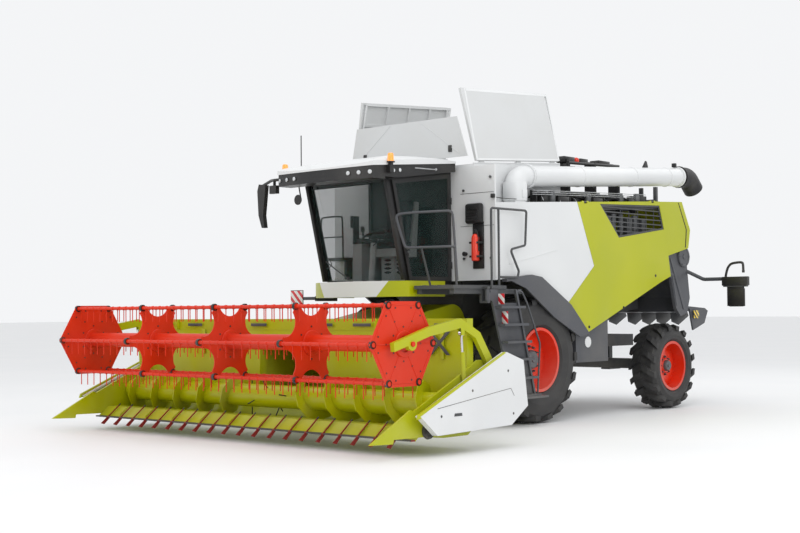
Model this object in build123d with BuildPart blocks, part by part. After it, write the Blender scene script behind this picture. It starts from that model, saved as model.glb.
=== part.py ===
from build123d import *
import os
from math import atan2, cos, hypot, radians, sin, sqrt

os.makedirs("parts", exist_ok=True)

# A combine harvester with a six metre cutting table, in millimetres. The ground is z = 0, the
# machine drives towards -Y, +X is its left side, and the origin lies under the front axle.

# Wheels and axles
wheelbase = 3820
front_tyre_radius = 950
front_tyre_width = 650
front_rim_radius = 455
rear_tyre_radius = 722
rear_tyre_width = 500
rear_rim_radius = 395
tyre_face_x = 1650
lug_depth = 55
rim_flange = 26
bead_clearance = 0.2
bearing_clearance = 0.05
front_dish = 60
rear_dish = 40
hub_length = 150
front_lug_pairs = 18
rear_lug_pairs = 16
axle_half_x = 760
axle_beam_height = 300
kingpin_x = 1080
kingpin_radius = 45

# Main body
body_front_y = -1050
panel_outer_x = 1610
panel_thickness = 40
panel_top_front_z = 3250
deck_rise = 0.0575
frame_rail_x = 560
frame_rail_width = 100
frame_top_z = 1250
frame_rail_height = 200
core_half_x = 640
core_top_z = 2350
core_front_y = -640
core_rear_y = 4300
side_box_outer_x = 1560
feeder_wall = 35
feeder_pin_radius = 40
side_box_z = (870, 1700)
side_box_y = (1000, 1900)

# Grain tank
tank_half_x = 1220
tank_rear_y = 1120
tank_wall = 40
tank_rim_front_z = 3840
tank_rim_rise = 0.0714
cover_height = 1150
cover_lean = 12.0
cover_thickness = 40
flap_height = 620
front_wall_half_x = 1620
front_wall_thickness = 30
front_wall_low_z = 2130
front_wall_top_z = 3800
cab_rear_y = body_front_y - front_wall_thickness

# Unloading pipe
pipe_x = 1395
pipe_radius = 160
pipe_turn_y = -300
pipe_low_z = 3690
pipe_rise = 0.0665
pipe_end_y = 4430
turret_radius = 165
turret_low_z = 3300

# Cab
cab_half_x = 800
cab_floor_z = 2060
cab_sill_z = 2140
cab_front_low_y = -2070
cab_front_high_y = -2440
cab_roof_z = 3560
cab_pillar = 55
cab_floor_thickness = 70
screen_bulge = 215
screen_thickness = 8
door_thickness = 30
door_gap = 6
cab_top_rise = 0.13
roof_half_x = 960
roof_front_y = -3020
roof_corner_y = -2930
roof_edge_front_z = 3690
roof_edge_rise = 0.086
roof_top_z = 3905
bumper_half_x = 940
bumper_low_z = 1900
bumper_top_z = 2135

# Platform and ladder
deck_inner_x = 975
deck_outer_x = 1690
deck_front_y = -2120
deck_rear_y = -920
deck_top_z = 2050
deck_thickness = 50
rail_radius = 17
hoop_top_z = 3070
hoop_middle_z = 2580
handrail_top_z = 3150
ladder_x = 1720

# Feeder house and cutting table
lift_axis_y = -950
lift_axis_z = 1500
feeder_half_x = 700
feeder_radius = 290
table_back_y = -3450
table_half_x = 3100
table_wall = 30
beam_top_z = 1600
beam_height = 150
auger_y = -3920
auger_z = 560
auger_tube_radius = 155
flight_radius = 290
flight_pitch = 520
flight_thickness = 12
trough_radius = 330
knife_y = -4534
knife_z = 215
lifter_count = 20
lifter_pitch = 296
lifter_tip_y = -4710
lifter_tip_z = 108
shield_outer_x = 3330
divider_tip_y = -5336
divider_tip_z = 200

# Reel
reel_y = -4678
reel_z = 1317
reel_radius = 571
reel_half_x = 3057
reel_plate = 14
reel_tube_radius = 100
bar_radius = 22
bar_circle = 520
bar_count = 6
bay_count = 4
tine_pitch = 152
tine_length = 190
tine_size = 9
arm_x = 3168
arm_width = 60
arm_pivot_y = -3200
arm_pivot_z = 1010

front_wheel_x = tyre_face_x - front_tyre_width / 2
rear_wheel_x = tyre_face_x - rear_tyre_width / 2
panel_inner_x = panel_outer_x - panel_thickness


def panel_top(y):
    """Height of the side panels' top edge, which rises towards the rear."""
    return panel_top_front_z + (y - body_front_y) * deck_rise


def tank_rim(y):
    """Height of the tank's rim, which rises towards the rear."""
    return tank_rim_front_z + (y - body_front_y) * tank_rim_rise


def cab_top(y):
    """Height of the cab frame's top, which rises to the rear."""
    return cab_roof_z + cab_top_rise * (y - cab_front_high_y)


def roof_edge(y):
    """Height of the white roof's lower edge, on top of the dark fascia."""
    return roof_edge_front_z + roof_edge_rise * (y - roof_front_y)


def pipe_height(y):
    """Height of the unloading pipe's centre line."""
    return pipe_low_z + (y - pipe_turn_y) * pipe_rise


def block(x, y, z, mode=Mode.ADD):
    """A block between pairs of limits along each axis."""
    middle = ((x[0] + x[1]) / 2, (y[0] + y[1]) / 2, (z[0] + z[1]) / 2)
    with Locations(middle):
        Box(abs(x[1] - x[0]), abs(y[1] - y[0]), abs(z[1] - z[0]), mode=mode)


def side_slab(outline, x_low, x_high, mode=Mode.ADD):
    """A slab whose side view is the outline of (y, z) points."""
    with BuildSketch(Plane.YZ.offset(x_low)) as side_view:
        with BuildLine():
            Polyline(*outline, close=True)
        make_face()
    extrude(side_view.sketch, amount=x_high - x_low, mode=mode)


def tube(points, radius, bend):
    """A round tube or bar along straight runs with bends of one radius."""
    with BuildLine() as path:
        if len(points) > 2:
            FilletPolyline(*points, radius=bend)
        else:
            Line(*points)
    with BuildSketch(Plane(origin=path.line @ 0, z_dir=path.line % 0)) as section:
        Circle(radius)
    sweep(section.sketch, path=path.line)


def cross_shaft(y, z, radius, x_low, x_high, mode=Mode.ADD):
    """A round bar that lies across the machine."""
    with BuildSketch(Plane.YZ.offset(x_low)) as section:
        with Locations((y, z)):
            Circle(radius)
    extrude(section.sketch, amount=x_high - x_low, mode=mode)


def both_sides(shape):
    """Adds a shape and its mirror image on the other side of the machine."""
    add(shape)
    add(mirror(shape, about=Plane.YZ, mode=Mode.PRIVATE))


def save(part, name):
    part.label = name
    export_step(part, f"parts/{name}.step")


# Frame: two rails with cross members and the towing hitch
hitch_pin_radius = 16
hitch_height = 700
hitch_rear_y = 4560
rail_low = frame_top_z - frame_rail_height
with BuildPart() as chassis_frame:
    for side in (-1, 1):
        block((side * (frame_rail_x - frame_rail_width), side * frame_rail_x), (core_front_y, 4250),
              (rail_low, frame_top_z))
    for y in (core_front_y, 620, 2500, wheelbase - 40, 4170):
        block((-frame_rail_x, frame_rail_x), (y, y + 80), (rail_low, frame_top_z))
    block((-90, 90), (4200, 4300), (hitch_height - 90, frame_top_z))
    for z in (hitch_height - 90, hitch_height + 50):
        block((-90, 90), (4250, hitch_rear_y), (z, z + 40))
    with Locations((0, hitch_rear_y - 60, hitch_height)):
        Cylinder(hitch_pin_radius, 400, mode=Mode.SUBTRACT)
save(chassis_frame.part, "chassis_frame")

# Side boxes between the wheels, each with its link to a frame rail
with BuildPart() as side_boxes:
    for side in (-1, 1):
        block((side * core_half_x, side * side_box_outer_x), side_box_y, side_box_z)
        block((side * frame_rail_x, side * core_half_x), side_box_y, (rail_low, frame_top_z))
save(side_boxes.part, "side_boxes")

# Body frame: posts and edge rails that carry the side panels by eyes and pins, and the cab's beams
panel_axis_x = panel_outer_x - panel_thickness / 2
hinge_pin_radius = 9
eye_length = 60
eye_radius = 16
panel_hinges = (1250, 3250)
edge_rail_x = (1490, 1550)
hood_seat_x = (1480, 1525)
bulkhead_y = (3380, 3440)
cab_beam_x = 500
lift_base = (-330, 760)
lift_eye = (-1900, 870)
lift_x = 520
lift_pin_radius = 22
lift_eye_clearance = 12
lift_eye_radius = 60


def along_panel(y):
    """A plane across the side panels' hinge line, with +X outwards and +Y downwards on it."""
    run = hypot(1, deck_rise)
    return Plane(origin=(panel_axis_x, y, panel_top(y)), x_dir=(1, 0, 0),
                 z_dir=(0, 1 / run, deck_rise / run))


def edge_rail(y_low, y_high, x):
    """A rail below a side panel's top edge."""
    side_slab([(y, panel_top(y) - drop) for y, drop in
               ((y_low, 130), (y_low, 50), (y_high, 50), (y_high, 130))], *x)


with BuildPart() as half_frame:
    edge_rail(body_front_y, bulkhead_y[1], edge_rail_x)
    edge_rail(bulkhead_y[1], 3700, hood_seat_x)
    block((panel_inner_x - 90, panel_inner_x), (body_front_y, body_front_y + 40),
          (panel_top(body_front_y) - 130, panel_top(body_front_y) - 50))
    for y in panel_hinges:
        with BuildSketch(along_panel(y).offset(-eye_length / 2)):
            Circle(eye_radius)
            with Locations((-2.5 * eye_radius, 50)):
                Rectangle(2 * eye_radius, 100)
            with Locations((-eye_radius, 0)):
                Rectangle(2 * eye_radius, eye_radius)
            Circle(hinge_pin_radius + bearing_clearance, mode=Mode.SUBTRACT)
        extrude(amount=eye_length)
    for y in (-950, 950):
        block((tank_half_x, edge_rail_x[0] + 10), (y, y + 60),
              (panel_top(y) - 120, panel_top(y) - 60))
    bulkhead_top = panel_top(bulkhead_y[0]) - 50
    block((0, edge_rail_x[0] + 10), bulkhead_y, (bulkhead_top - 80, bulkhead_top))
    block((core_half_x - 100, core_half_x), bulkhead_y, (core_top_z, bulkhead_top - 50))
    block((cab_beam_x - 60, cab_beam_x + 60), (cab_front_low_y + 60, core_front_y), (1930, cab_floor_z))
with BuildPart() as body_frame:
    both_sides(half_frame.part)
save(body_frame.part, "body_frame")

# Brackets in front of the threshing body for the feeder house and the base pins of its lift cylinders
with BuildPart() as half_brackets:
    block((feeder_half_x + 5, feeder_half_x + 45), (lift_axis_y - 60, -520),
          (lift_axis_z - 70, lift_axis_z + 70))
    block((core_half_x, feeder_half_x + 45), (core_front_y + 20, -520),
          (lift_axis_z - 120, lift_axis_z + 120))
    cross_shaft(lift_axis_y, lift_axis_z, feeder_pin_radius, feeder_half_x - feeder_wall,
                feeder_half_x + 45)
    for x in (lift_x - 50, lift_x + 30):
        block((x, x + 20), (lift_base[0] - 40, -150), (lift_base[1] - 45, lift_base[1] + 45))
        block((x, x + 20), (-250, -150), (lift_base[1] + 45, rail_low))
    cross_shaft(*lift_base, lift_pin_radius, lift_x - 50, lift_x + 50)
with BuildPart() as lift_brackets:
    both_sides(half_brackets.part)
save(lift_brackets.part, "lift_brackets")

# Threshing and cleaning body between the wheels
core_outline = (
    (core_front_y, frame_top_z), (core_front_y, core_top_z), (3500, core_top_z), (3700, 2600),
    (core_rear_y, 2600), (core_rear_y, 1700), (3400, 1600), (2950, frame_top_z),
)
belly_outline = ((560, 700), (560, 1050), (2950, 1050), (2950, 860), (2500, 760))
with BuildPart() as threshing_body:
    side_slab(core_outline, -core_half_x, core_half_x)
    side_slab(belly_outline, -(frame_rail_x - frame_rail_width), frame_rail_x - frame_rail_width)
save(threshing_body.part, "threshing_body")

# Front axle: a heavy beam with a final drive at each wheel
front_axle_z = front_tyre_radius
drive_radius = 290
front_hub_radius = 120
drive_face_x = 960
with BuildPart() as front_axle:
    axle_top = frame_top_z - frame_rail_height
    block((-axle_half_x, axle_half_x), (-150, 150), (axle_top - axle_beam_height, axle_top))
    for side in (-1, 1):
        cross_shaft(0, front_axle_z, drive_radius, side * axle_half_x, side * drive_face_x)
        cross_shaft(0, front_axle_z, front_hub_radius - bearing_clearance, side * drive_face_x,
                    side * (front_wheel_x + front_dish + 20))
save(front_axle.part, "front_axle")

# Rear axle: a beam that hangs under the frame, with a fork for each kingpin
rear_axle_z = rear_tyre_radius
fork_height = 130
kingpin_height = 210
with BuildPart() as rear_axle:
    block((-kingpin_x + 90, kingpin_x - 90), (wheelbase - 90, wheelbase + 90),
          (rear_axle_z - 60, rear_axle_z + 110))
    block((-130, 130), (wheelbase - 130, wheelbase + 130), (rear_axle_z + 110, 1050))
    for side in (-1, 1):
        for z in (rear_axle_z - fork_height - 40, rear_axle_z + fork_height):
            block((side * (kingpin_x - 200), side * (kingpin_x + 60)),
                  (wheelbase - 70, wheelbase + 70), (z, z + 40))
        block((side * (kingpin_x - 200), side * (kingpin_x - 90)), (wheelbase - 70, wheelbase + 70),
              (rear_axle_z - fork_height - 40, rear_axle_z + fork_height + 40))
        with Locations((side * kingpin_x, wheelbase, rear_axle_z)):
            Cylinder(kingpin_radius + bearing_clearance, 600, mode=Mode.SUBTRACT)
save(rear_axle.part, "rear_axle")

# Steering knuckles: a kingpin, a block in the fork and the stub that carries the wheel
rear_hub_radius = 70
with BuildPart() as steering_knuckle_left:
    with Locations((kingpin_x, wheelbase, rear_axle_z)):
        Cylinder(kingpin_radius, 2 * kingpin_height)
        Box(120, 130, 2 * fork_height - 12)
    cross_shaft(wheelbase, rear_axle_z, rear_hub_radius - bearing_clearance, kingpin_x + 50,
                rear_wheel_x + rear_dish + 20)
save(steering_knuckle_left.part, "steering_knuckle_left")
with BuildPart() as steering_knuckle_right:
    add(mirror(steering_knuckle_left.part, about=Plane.YZ))
save(steering_knuckle_right.part, "steering_knuckle_right")


def tyre(radius, width, bead_radius, lug_pairs, centre):
    """A tyre with chevron lugs. The section is a closed outline of (x, r) about the wheel's axis."""
    carcass = radius - lug_depth
    half = width / 2
    bead_half = half - 60
    section = (
        (-bead_half, bead_radius), (-bead_half, bead_radius + rim_flange + 5),
        (-half + 12, bead_radius + 70), (-half, (carcass + bead_radius) / 2),
        (-half + 25, carcass - 60), (-half + 75, carcass - 12), (0, carcass),
        (half - 75, carcass - 12), (half - 25, carcass - 60), (half, (carcass + bead_radius) / 2),
        (half - 12, bead_radius + 70), (bead_half, bead_radius + rim_flange + 5),
        (bead_half, bead_radius),
    )
    with BuildPart() as body:
        with BuildSketch(Plane.XZ):
            with BuildLine():
                Polyline(*section, close=True)
            make_face()
        revolve(axis=Axis.X)
        pitch = 360 / lug_pairs
        lug_width = radius * radians(pitch) * 0.36
        lug_top = sqrt(radius**2 - (lug_width / 2) ** 2)
        # columns: share of the half width, turn in degrees, height of the lug's top
        stations = ((0.06, 0.0, lug_top), (0.55, 5.5, lug_top), (0.985, 12.0, lug_top - 38))
        for side, start in ((1, 0), (-1, pitch / 2)):
            with BuildPart(mode=Mode.PRIVATE) as lug:
                for share, turn, top in stations:
                    angle = radians(turn)
                    middle = top - lug_depth / 2 - 10
                    where = (side * share * half, -middle * sin(angle), middle * cos(angle))
                    out = (0, -sin(angle), cos(angle))
                    with BuildSketch(Plane(origin=where, x_dir=out, z_dir=(side, 0, 0))):
                        Rectangle(lug_depth + 20, lug_width)
                loft(ruled=True)
            for i in range(lug_pairs):
                add(lug.part.rotate(Axis.X, start + i * pitch))
    return body.part.moved(Location(centre))


def wheel(rim_radius, width, dish, hub_bore, centre):
    """A deep dished rim with its disc and hub. The section is an outline of (x, r)."""
    half = width / 2 - 40
    wall = 18
    flange = rim_flange
    seat = rim_radius - bead_clearance
    section = (
        (-half, seat + flange), (-half, seat - wall), (dish - 60, seat - wall),
        (dish - wall, rim_radius * 0.62), (dish - wall, hub_bore + 60),
        (dish - hub_length, hub_bore + 60), (dish - hub_length, hub_bore), (dish + 40, hub_bore),
        (dish + 40, hub_bore + 45), (dish, hub_bore + 70), (dish, rim_radius * 0.64),
        (dish - 38, seat - wall), (half, seat - wall), (half, seat + flange),
        (half - wall, seat + flange), (half - wall, seat), (-half + wall, seat),
        (-half + wall, seat + flange),
    )
    with BuildPart() as body:
        with BuildSketch(Plane.XZ):
            with BuildLine():
                Polyline(*section, close=True)
            make_face()
        revolve(axis=Axis.X)
    return body.part.moved(Location(centre))


front_centre = (front_wheel_x, 0, front_tyre_radius)
rear_centre = (rear_wheel_x, wheelbase, rear_tyre_radius)
with BuildPart() as front_tyre_left:
    add(tyre(front_tyre_radius, front_tyre_width, front_rim_radius, front_lug_pairs, front_centre))
save(front_tyre_left.part, "front_tyre_left")
with BuildPart() as front_tyre_right:
    add(mirror(front_tyre_left.part, about=Plane.YZ, mode=Mode.PRIVATE))
save(front_tyre_right.part, "front_tyre_right")
with BuildPart() as rear_tyre_left:
    add(tyre(rear_tyre_radius, rear_tyre_width, rear_rim_radius, rear_lug_pairs, rear_centre))
save(rear_tyre_left.part, "rear_tyre_left")
with BuildPart() as rear_tyre_right:
    add(mirror(rear_tyre_left.part, about=Plane.YZ, mode=Mode.PRIVATE))
save(rear_tyre_right.part, "rear_tyre_right")
with BuildPart() as front_wheel_left:
    add(wheel(front_rim_radius, front_tyre_width, front_dish, front_hub_radius, front_centre))
save(front_wheel_left.part, "front_wheel_left")
with BuildPart() as front_wheel_right:
    add(mirror(front_wheel_left.part, about=Plane.YZ, mode=Mode.PRIVATE))
save(front_wheel_right.part, "front_wheel_right")
with BuildPart() as rear_wheel_left:
    add(wheel(rear_rim_radius, rear_tyre_width, rear_dish, rear_hub_radius, rear_centre))
save(rear_wheel_left.part, "rear_wheel_left")
with BuildPart() as rear_wheel_right:
    add(mirror(rear_wheel_left.part, about=Plane.YZ, mode=Mode.PRIVATE))
save(rear_wheel_right.part, "rear_wheel_right")

# Side panels: a fixed white front panel and a green rear panel that swings up about its top edge
seam_gap = 9
seam = ((1010, panel_top(1010)), (1458, 2380), (700, 1770))
grille_outline = ((1650, 3370), (2190, 2850), (3600, 3040), (3460, 3440))
white_outline = (
    (body_front_y, 2130), (body_front_y, panel_top(body_front_y)), *seam, (680, 1745), (-70, 2160),
    (-310, 2190),
)
green_outline = (
    *[(y + seam_gap, z) for y, z in seam], (1200, 1310), (3430, 2130), (3800, 2250), (3665, 2900),
    (3470, panel_top(3470)),
)
hinge_notch = eye_length + 30
with BuildPart() as side_panel_white:
    for side in (-1, 1):
        side_slab(white_outline, side * panel_inner_x, side * panel_outer_x)
save(side_panel_white.part, "side_panels_white")
with BuildPart() as green_panel:
    side_slab(green_outline, panel_inner_x, panel_outer_x)
    side_slab(grille_outline, panel_inner_x, panel_outer_x, mode=Mode.SUBTRACT)
    for y in panel_hinges:
        with BuildSketch(along_panel(y).offset(-hinge_notch / 2)):
            Rectangle(panel_thickness + 20, 2 * (eye_radius + 10))
        extrude(amount=hinge_notch, mode=Mode.SUBTRACT)
        with BuildSketch(along_panel(y).offset(-hinge_notch / 2)):
            Circle(hinge_pin_radius)
        extrude(amount=hinge_notch)
        for start in (-hinge_notch / 2 - 40, hinge_notch / 2):
            with BuildSketch(along_panel(y).offset(start)):
                Circle(eye_radius)
            extrude(amount=40)
save(green_panel.part, "side_panel_green_left")
save(mirror(green_panel.part, about=Plane.YZ), "side_panel_green_right")

# Mudguards over the front wheels, on the white panels
mudguard_outline = (
    (-920, 2150), (-310, 2215), (-60, 2185), (690, 1771), (1186, 1318), (930, 1270), (250, 1580),
    (-450, 2010),
)
mudguard_flange_outline = (
    (-920, 2150), (-310, 2215), (-60, 2185), (690, 1771), (1186, 1318), (1152, 1300), (650, 1725),
    (-80, 2140), (-310, 2170), (-920, 2105),
)
mudguard_x = (panel_outer_x, 1700)
mudguard_thickness = 30
with BuildPart() as mudguards:
    for side in (-1, 1):
        side_slab(mudguard_outline, side * (mudguard_x[1] - mudguard_thickness), side * mudguard_x[1])
        side_slab(mudguard_flange_outline, side * mudguard_x[0], side * mudguard_x[1])
save(mudguards.part, "mudguards")

# Engine grilles: a frame with level bars in the opening of each green panel
grille_border = 30
grille_low_z = 2960
grille_pitch = 75
grille_bars = 6
grille_bar = 18


def level_span(outline, z):
    """The lowest and highest y where an outline of (y, z) points crosses one height."""
    crossings = []
    for (y0, z0), (y1, z1) in zip(outline, outline[1:] + outline[:1]):
        if min(z0, z1) <= z < max(z0, z1):
            crossings.append(y0 + (y1 - y0) * (z - z0) / (z1 - z0))
    return min(crossings), max(crossings)


with BuildPart() as grille:
    with BuildSketch(Plane.YZ.offset(panel_inner_x + 5)) as grille_frame:
        with BuildLine():
            Polyline(*grille_outline, close=True)
        make_face()
        offset(amount=-0.3)
        offset(amount=-grille_border, mode=Mode.SUBTRACT)
    extrude(grille_frame.sketch, amount=panel_thickness - 15)
    for i in range(grille_bars):
        z = grille_low_z + i * grille_pitch
        spans = [level_span(grille_outline, z + dz) for dz in (-grille_bar / 2, grille_bar / 2)]
        y_low = max(low for low, high in spans) + grille_border / 2
        y_high = min(high for low, high in spans) - grille_border / 2
        block((panel_inner_x + 10, panel_outer_x - 15), (y_low, y_high),
              (z - grille_bar / 2, z + grille_bar / 2))
save(grille.part, "grille_left")
save(mirror(grille.part, about=Plane.YZ), "grille_right")

# Grain tank with an open hopper, the white wall behind the cab and the hinge eyes of its covers
hopper_outline = ((-1010, 4300), (1080, 4300), (1080, 3000), (350, 2450), (-250, 2450), (-1010, 3000))
cover_axis_x = 1205
cover_axis_rise = 20
cover_front_y = -1010
cover_length = 2090
cover_eye_length = 24
cover_knuckle_length = 90
cover_stations = (150, 1045, 1940)
cover_knuckle_radius = 14
flap_axis_y = -1125
flap_axis_z = 3925
flap_half_low = 1175
flap_half_high = 1010
flap_thickness = 20
flap_gap = 26
flap_stations = (-700, 700)
rim_angle = atan2(tank_rim_rise, 1)


def along_rim(run):
    """A plane across the left cover's hinge line, at a distance along it."""
    y = cover_front_y + run * cos(rim_angle)
    origin = (cover_axis_x, y, tank_rim(cover_front_y) + cover_axis_rise + run * sin(rim_angle))
    return Plane(origin=origin, x_dir=(1, 0, 0), z_dir=(0, cos(rim_angle), sin(rim_angle)))


with BuildPart() as rim_eyes:
    for station in cover_stations:
        for start in (-cover_knuckle_length / 2 - cover_eye_length - 1, cover_knuckle_length / 2 + 1):
            with BuildSketch(along_rim(station + start)):
                Circle(cover_knuckle_radius - 4)
                with Locations((0, cover_axis_rise / 2 + 5)):
                    Rectangle(2 * (cover_knuckle_radius - 4), cover_axis_rise + 10)
            extrude(amount=cover_eye_length)
        with BuildSketch(along_rim(station - cover_knuckle_length / 2 - 1)):
            Circle(hinge_pin_radius)
        extrude(amount=cover_knuckle_length + 2)
with BuildPart() as grain_tank:
    tank_outline = (
        (body_front_y, core_top_z), (body_front_y, tank_rim(body_front_y)),
        (tank_rear_y, tank_rim(tank_rear_y)), (tank_rear_y, core_top_z),
    )
    side_slab(tank_outline, -tank_half_x, tank_half_x)
    side_slab(hopper_outline, -(tank_half_x - tank_wall), tank_half_x - tank_wall, mode=Mode.SUBTRACT)
    block((-front_wall_half_x, front_wall_half_x), (cab_rear_y, body_front_y),
          (front_wall_low_z, front_wall_top_z))
    block((tank_half_x, 1560), (pipe_turn_y - 220, pipe_turn_y + 220), (turret_low_z - 40, turret_low_z))
    both_sides(rim_eyes.part)
    flap_lug = (
        (flap_axis_y - 12, front_wall_top_z - 30), (flap_axis_y - 12, flap_axis_z + 12),
        (flap_axis_y + 10, flap_axis_z + 12), (flap_axis_y + 16, flap_axis_z - 12),
        (body_front_y, flap_axis_z - 12), (body_front_y, front_wall_top_z - 30),
    )
    for x in flap_stations:
        for offset_x in (-60, 60):
            side_slab(flap_lug, x + offset_x - 10, x + offset_x + 10)
        cross_shaft(flap_axis_y, flap_axis_z, hinge_pin_radius, x - 55, x + 55)
save(grain_tank.part, "grain_tank")

# Tank covers: two large lids that lean inwards when open, and a flap at the front
lean = radians(cover_lean)
cover_plane = Plane(origin=along_rim(0).origin, x_dir=(0, cos(rim_angle), sin(rim_angle)),
                    z_dir=(cos(lean), -sin(lean) * sin(rim_angle), sin(lean) * cos(rim_angle)))
with BuildPart() as tank_cover_left:
    with BuildSketch(cover_plane):
        with Locations((cover_length / 2, cover_height / 2)):
            Rectangle(cover_length, cover_height - 36)
    extrude(amount=cover_thickness)
    with BuildSketch(cover_plane):
        with Locations((cover_length / 2, cover_height / 2)):
            Rectangle(cover_length - 60, cover_height - 96)
    extrude(amount=cover_thickness - 12, mode=Mode.SUBTRACT)
    for station in cover_stations:
        with BuildSketch(along_rim(station - cover_knuckle_length / 2)):
            Circle(cover_knuckle_radius)
        extrude(amount=cover_knuckle_length)
        with BuildSketch(cover_plane):
            with Locations((station, 16)):
                Rectangle(cover_knuckle_length, 32)
        extrude(amount=cover_knuckle_radius)
        with BuildSketch(along_rim(station - cover_knuckle_length)):
            Circle(hinge_pin_radius + bearing_clearance)
        extrude(amount=2 * cover_knuckle_length, mode=Mode.SUBTRACT)
save(tank_cover_left.part, "tank_cover_left")
with BuildPart() as tank_cover_right:
    add(mirror(tank_cover_left.part, about=Plane.YZ, mode=Mode.PRIVATE))
save(tank_cover_right.part, "tank_cover_right")
flap_plane = Plane(origin=(0, flap_axis_y, flap_axis_z), x_dir=(1, 0, 0),
                   z_dir=(0, -cos(rim_angle), -sin(rim_angle)))
with BuildPart() as tank_flap:
    with BuildSketch(flap_plane):
        with BuildLine():
            Polyline((-flap_half_low, flap_gap), (flap_half_low, flap_gap), (flap_half_high, flap_height),
                     (-flap_half_high, flap_height), close=True)
        make_face()
    extrude(amount=flap_thickness)
    for x in flap_stations:
        cross_shaft(flap_axis_y, flap_axis_z, cover_knuckle_radius, x - 45, x + 45)
        with BuildSketch(flap_plane):
            with Locations((x, flap_gap)):
                Rectangle(90, 2 * flap_gap)
        extrude(amount=cover_knuckle_radius)
        cross_shaft(flap_axis_y, flap_axis_z, hinge_pin_radius + bearing_clearance, x - 90, x + 90,
                    mode=Mode.SUBTRACT)
save(tank_flap.part, "tank_flap")

# Engine and its cooler box behind the tank, with the air filter, the exhaust and the deck's rail
deck_posts = (1500, 2250, 2960)
rail_x = 1100
with BuildPart() as engine:
    block((-450, 450), (1450, 2600), (core_top_z, 3150))
    block((-1480, -950), (1350, 2650), (core_top_z + 150, 3330))
    block((-970, -430), (1700, 2300), (core_top_z + 150, 2900))
    with Locations((-250, 2450, 3400)):
        Cylinder(70, 620)
    block((-970, 1050), (1300, 1380), (3240, 3310))
    block((-700, 500), (1240, 1900), (3290, 3980))
    block((-620, 420), (1500, 1600), (3090, 3360))
    block((400, 700), (1660, 1840), (3060, 3230))
    block((640, 1150), (deck_posts[0] - 20, deck_posts[2] + 60), (3140, 3420))
    for y in deck_posts:
        block((rail_x - 20, rail_x + 20), (y, y + 40), (3380, 4070))
    tube(((rail_x, deck_posts[0] + 10, 4060), (rail_x, deck_posts[2] + 30, 4110)), 25, 0)
save(engine.part, "engine")

# Unloading pipe: a turret on the left, an elbow and a long tube that ends in a curved rubber spout
elbow_start_z = turret_low_z + 120
with BuildPart() as unloading_pipe:
    with Locations((pipe_x, pipe_turn_y, (turret_low_z + elbow_start_z) / 2 + 0.15)):
        Cylinder(turret_radius, elbow_start_z - turret_low_z - 0.3)
    elbow_path = (
        (pipe_x, pipe_turn_y, elbow_start_z - 5), (pipe_x, pipe_turn_y, pipe_height(pipe_turn_y)),
        (pipe_x, pipe_end_y, pipe_height(pipe_end_y)),
    )
    tube(elbow_path, pipe_radius, 200)
save(unloading_pipe.part, "unloading_pipe")
spout_path = (
    (pipe_x, pipe_end_y, pipe_height(pipe_end_y)),
    (pipe_x, pipe_end_y + 330, pipe_height(pipe_end_y + 330)),
    (pipe_x, pipe_end_y + 560, pipe_height(pipe_end_y) - 190),
)
with BuildPart() as pipe_spout:
    tube(spout_path, pipe_radius + 12, 260)
save(pipe_spout.part, "pipe_spout")
# Rear hood: a green shell over the straw walkers, open towards the engine and below
hood_half_x = 1555
hood_wall = 30
hood_outline = (
    (3500, panel_top(3500)), (4300, 3550), (4570, 3070), (4500, 2750), (3770, 2590), (3700, 2900),
)
hood_low = (hood_outline[4], hood_outline[3])


def hood_edge(y):
    """Height of the hood's lower edge."""
    (y0, z0), (y1, z1) = hood_low
    return z0 + (y - y0) * (z1 - z0) / (y1 - y0)


hood_hollow = (
    (3400, panel_top(3500) - hood_wall), (4275, 3520), (4535, 3070), (4470, 2700), (3770, 2500),
    (3400, 2500),
)
with BuildPart() as rear_hood:
    side_slab(hood_outline, -hood_half_x, hood_half_x)
    side_slab(hood_hollow, -(hood_half_x - hood_wall), hood_half_x - hood_wall, mode=Mode.SUBTRACT)
save(rear_hood.part, "rear_hood")

# Chopper housing: dark cheeks and a rear wall below the hood, the spreader hood and the lamp arms
chopper_half_x = 1500
cheek_thickness = 60
chopper_outline = (
    (3790, hood_edge(3790)), (4490, hood_edge(4490)), (4620, 1880), (4520, 1620), (4300, 1560),
    (4150, 1700), (4000, 2230), (3850, 2250),
)
chopper_wall_outline = (
    (4400, hood_edge(4400)), (4490, hood_edge(4490)), (4620, 1880), (4520, 1620), (4430, 1640),
    (4530, 1890),
)
spreader_rear_y = 5360
spreader_outline = ((4560, 1740), (5250, 1700), (spreader_rear_y, 1650), (spreader_rear_y - 40, 1640),
                    (5240, 1670), (4540, 1700))
deflector_outline = ((4700, 1730), (5250, 1700), (spreader_rear_y, 1650), (5230, 1430), (4830, 1310))
spreader_half_x = 1440
lamp_arm_y = 4650
lamp_box_x = (2150, 2590)
lamp_box_z = (1730, 2220)
with BuildPart() as half_chopper:
    side_slab(chopper_outline, chopper_half_x - cheek_thickness, chopper_half_x)
    side_slab(chopper_wall_outline, 0, chopper_half_x)
    side_slab(spreader_outline, 0, spreader_half_x)
    side_slab(deflector_outline, spreader_half_x - 30, spreader_half_x)
    block((core_half_x, chopper_half_x), (3900, 4000), (2300, 2400))
    tube(((1330, lamp_arm_y - 145, 2430), (1760, lamp_arm_y, 2200), (lamp_box_x[0] + 60, lamp_arm_y, 2200)),
         32, 120)
    block(lamp_box_x, (lamp_arm_y - 30, lamp_arm_y + 30), (2060, lamp_box_z[1]))
    block((lamp_box_x[0] + 60, lamp_box_x[1] - 60), (lamp_arm_y - 6, lamp_arm_y + 6),
          (lamp_box_z[0], 2070))
with BuildPart() as chopper_housing:
    both_sides(half_chopper.part)
save(chopper_housing.part, "chopper_housing")

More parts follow.
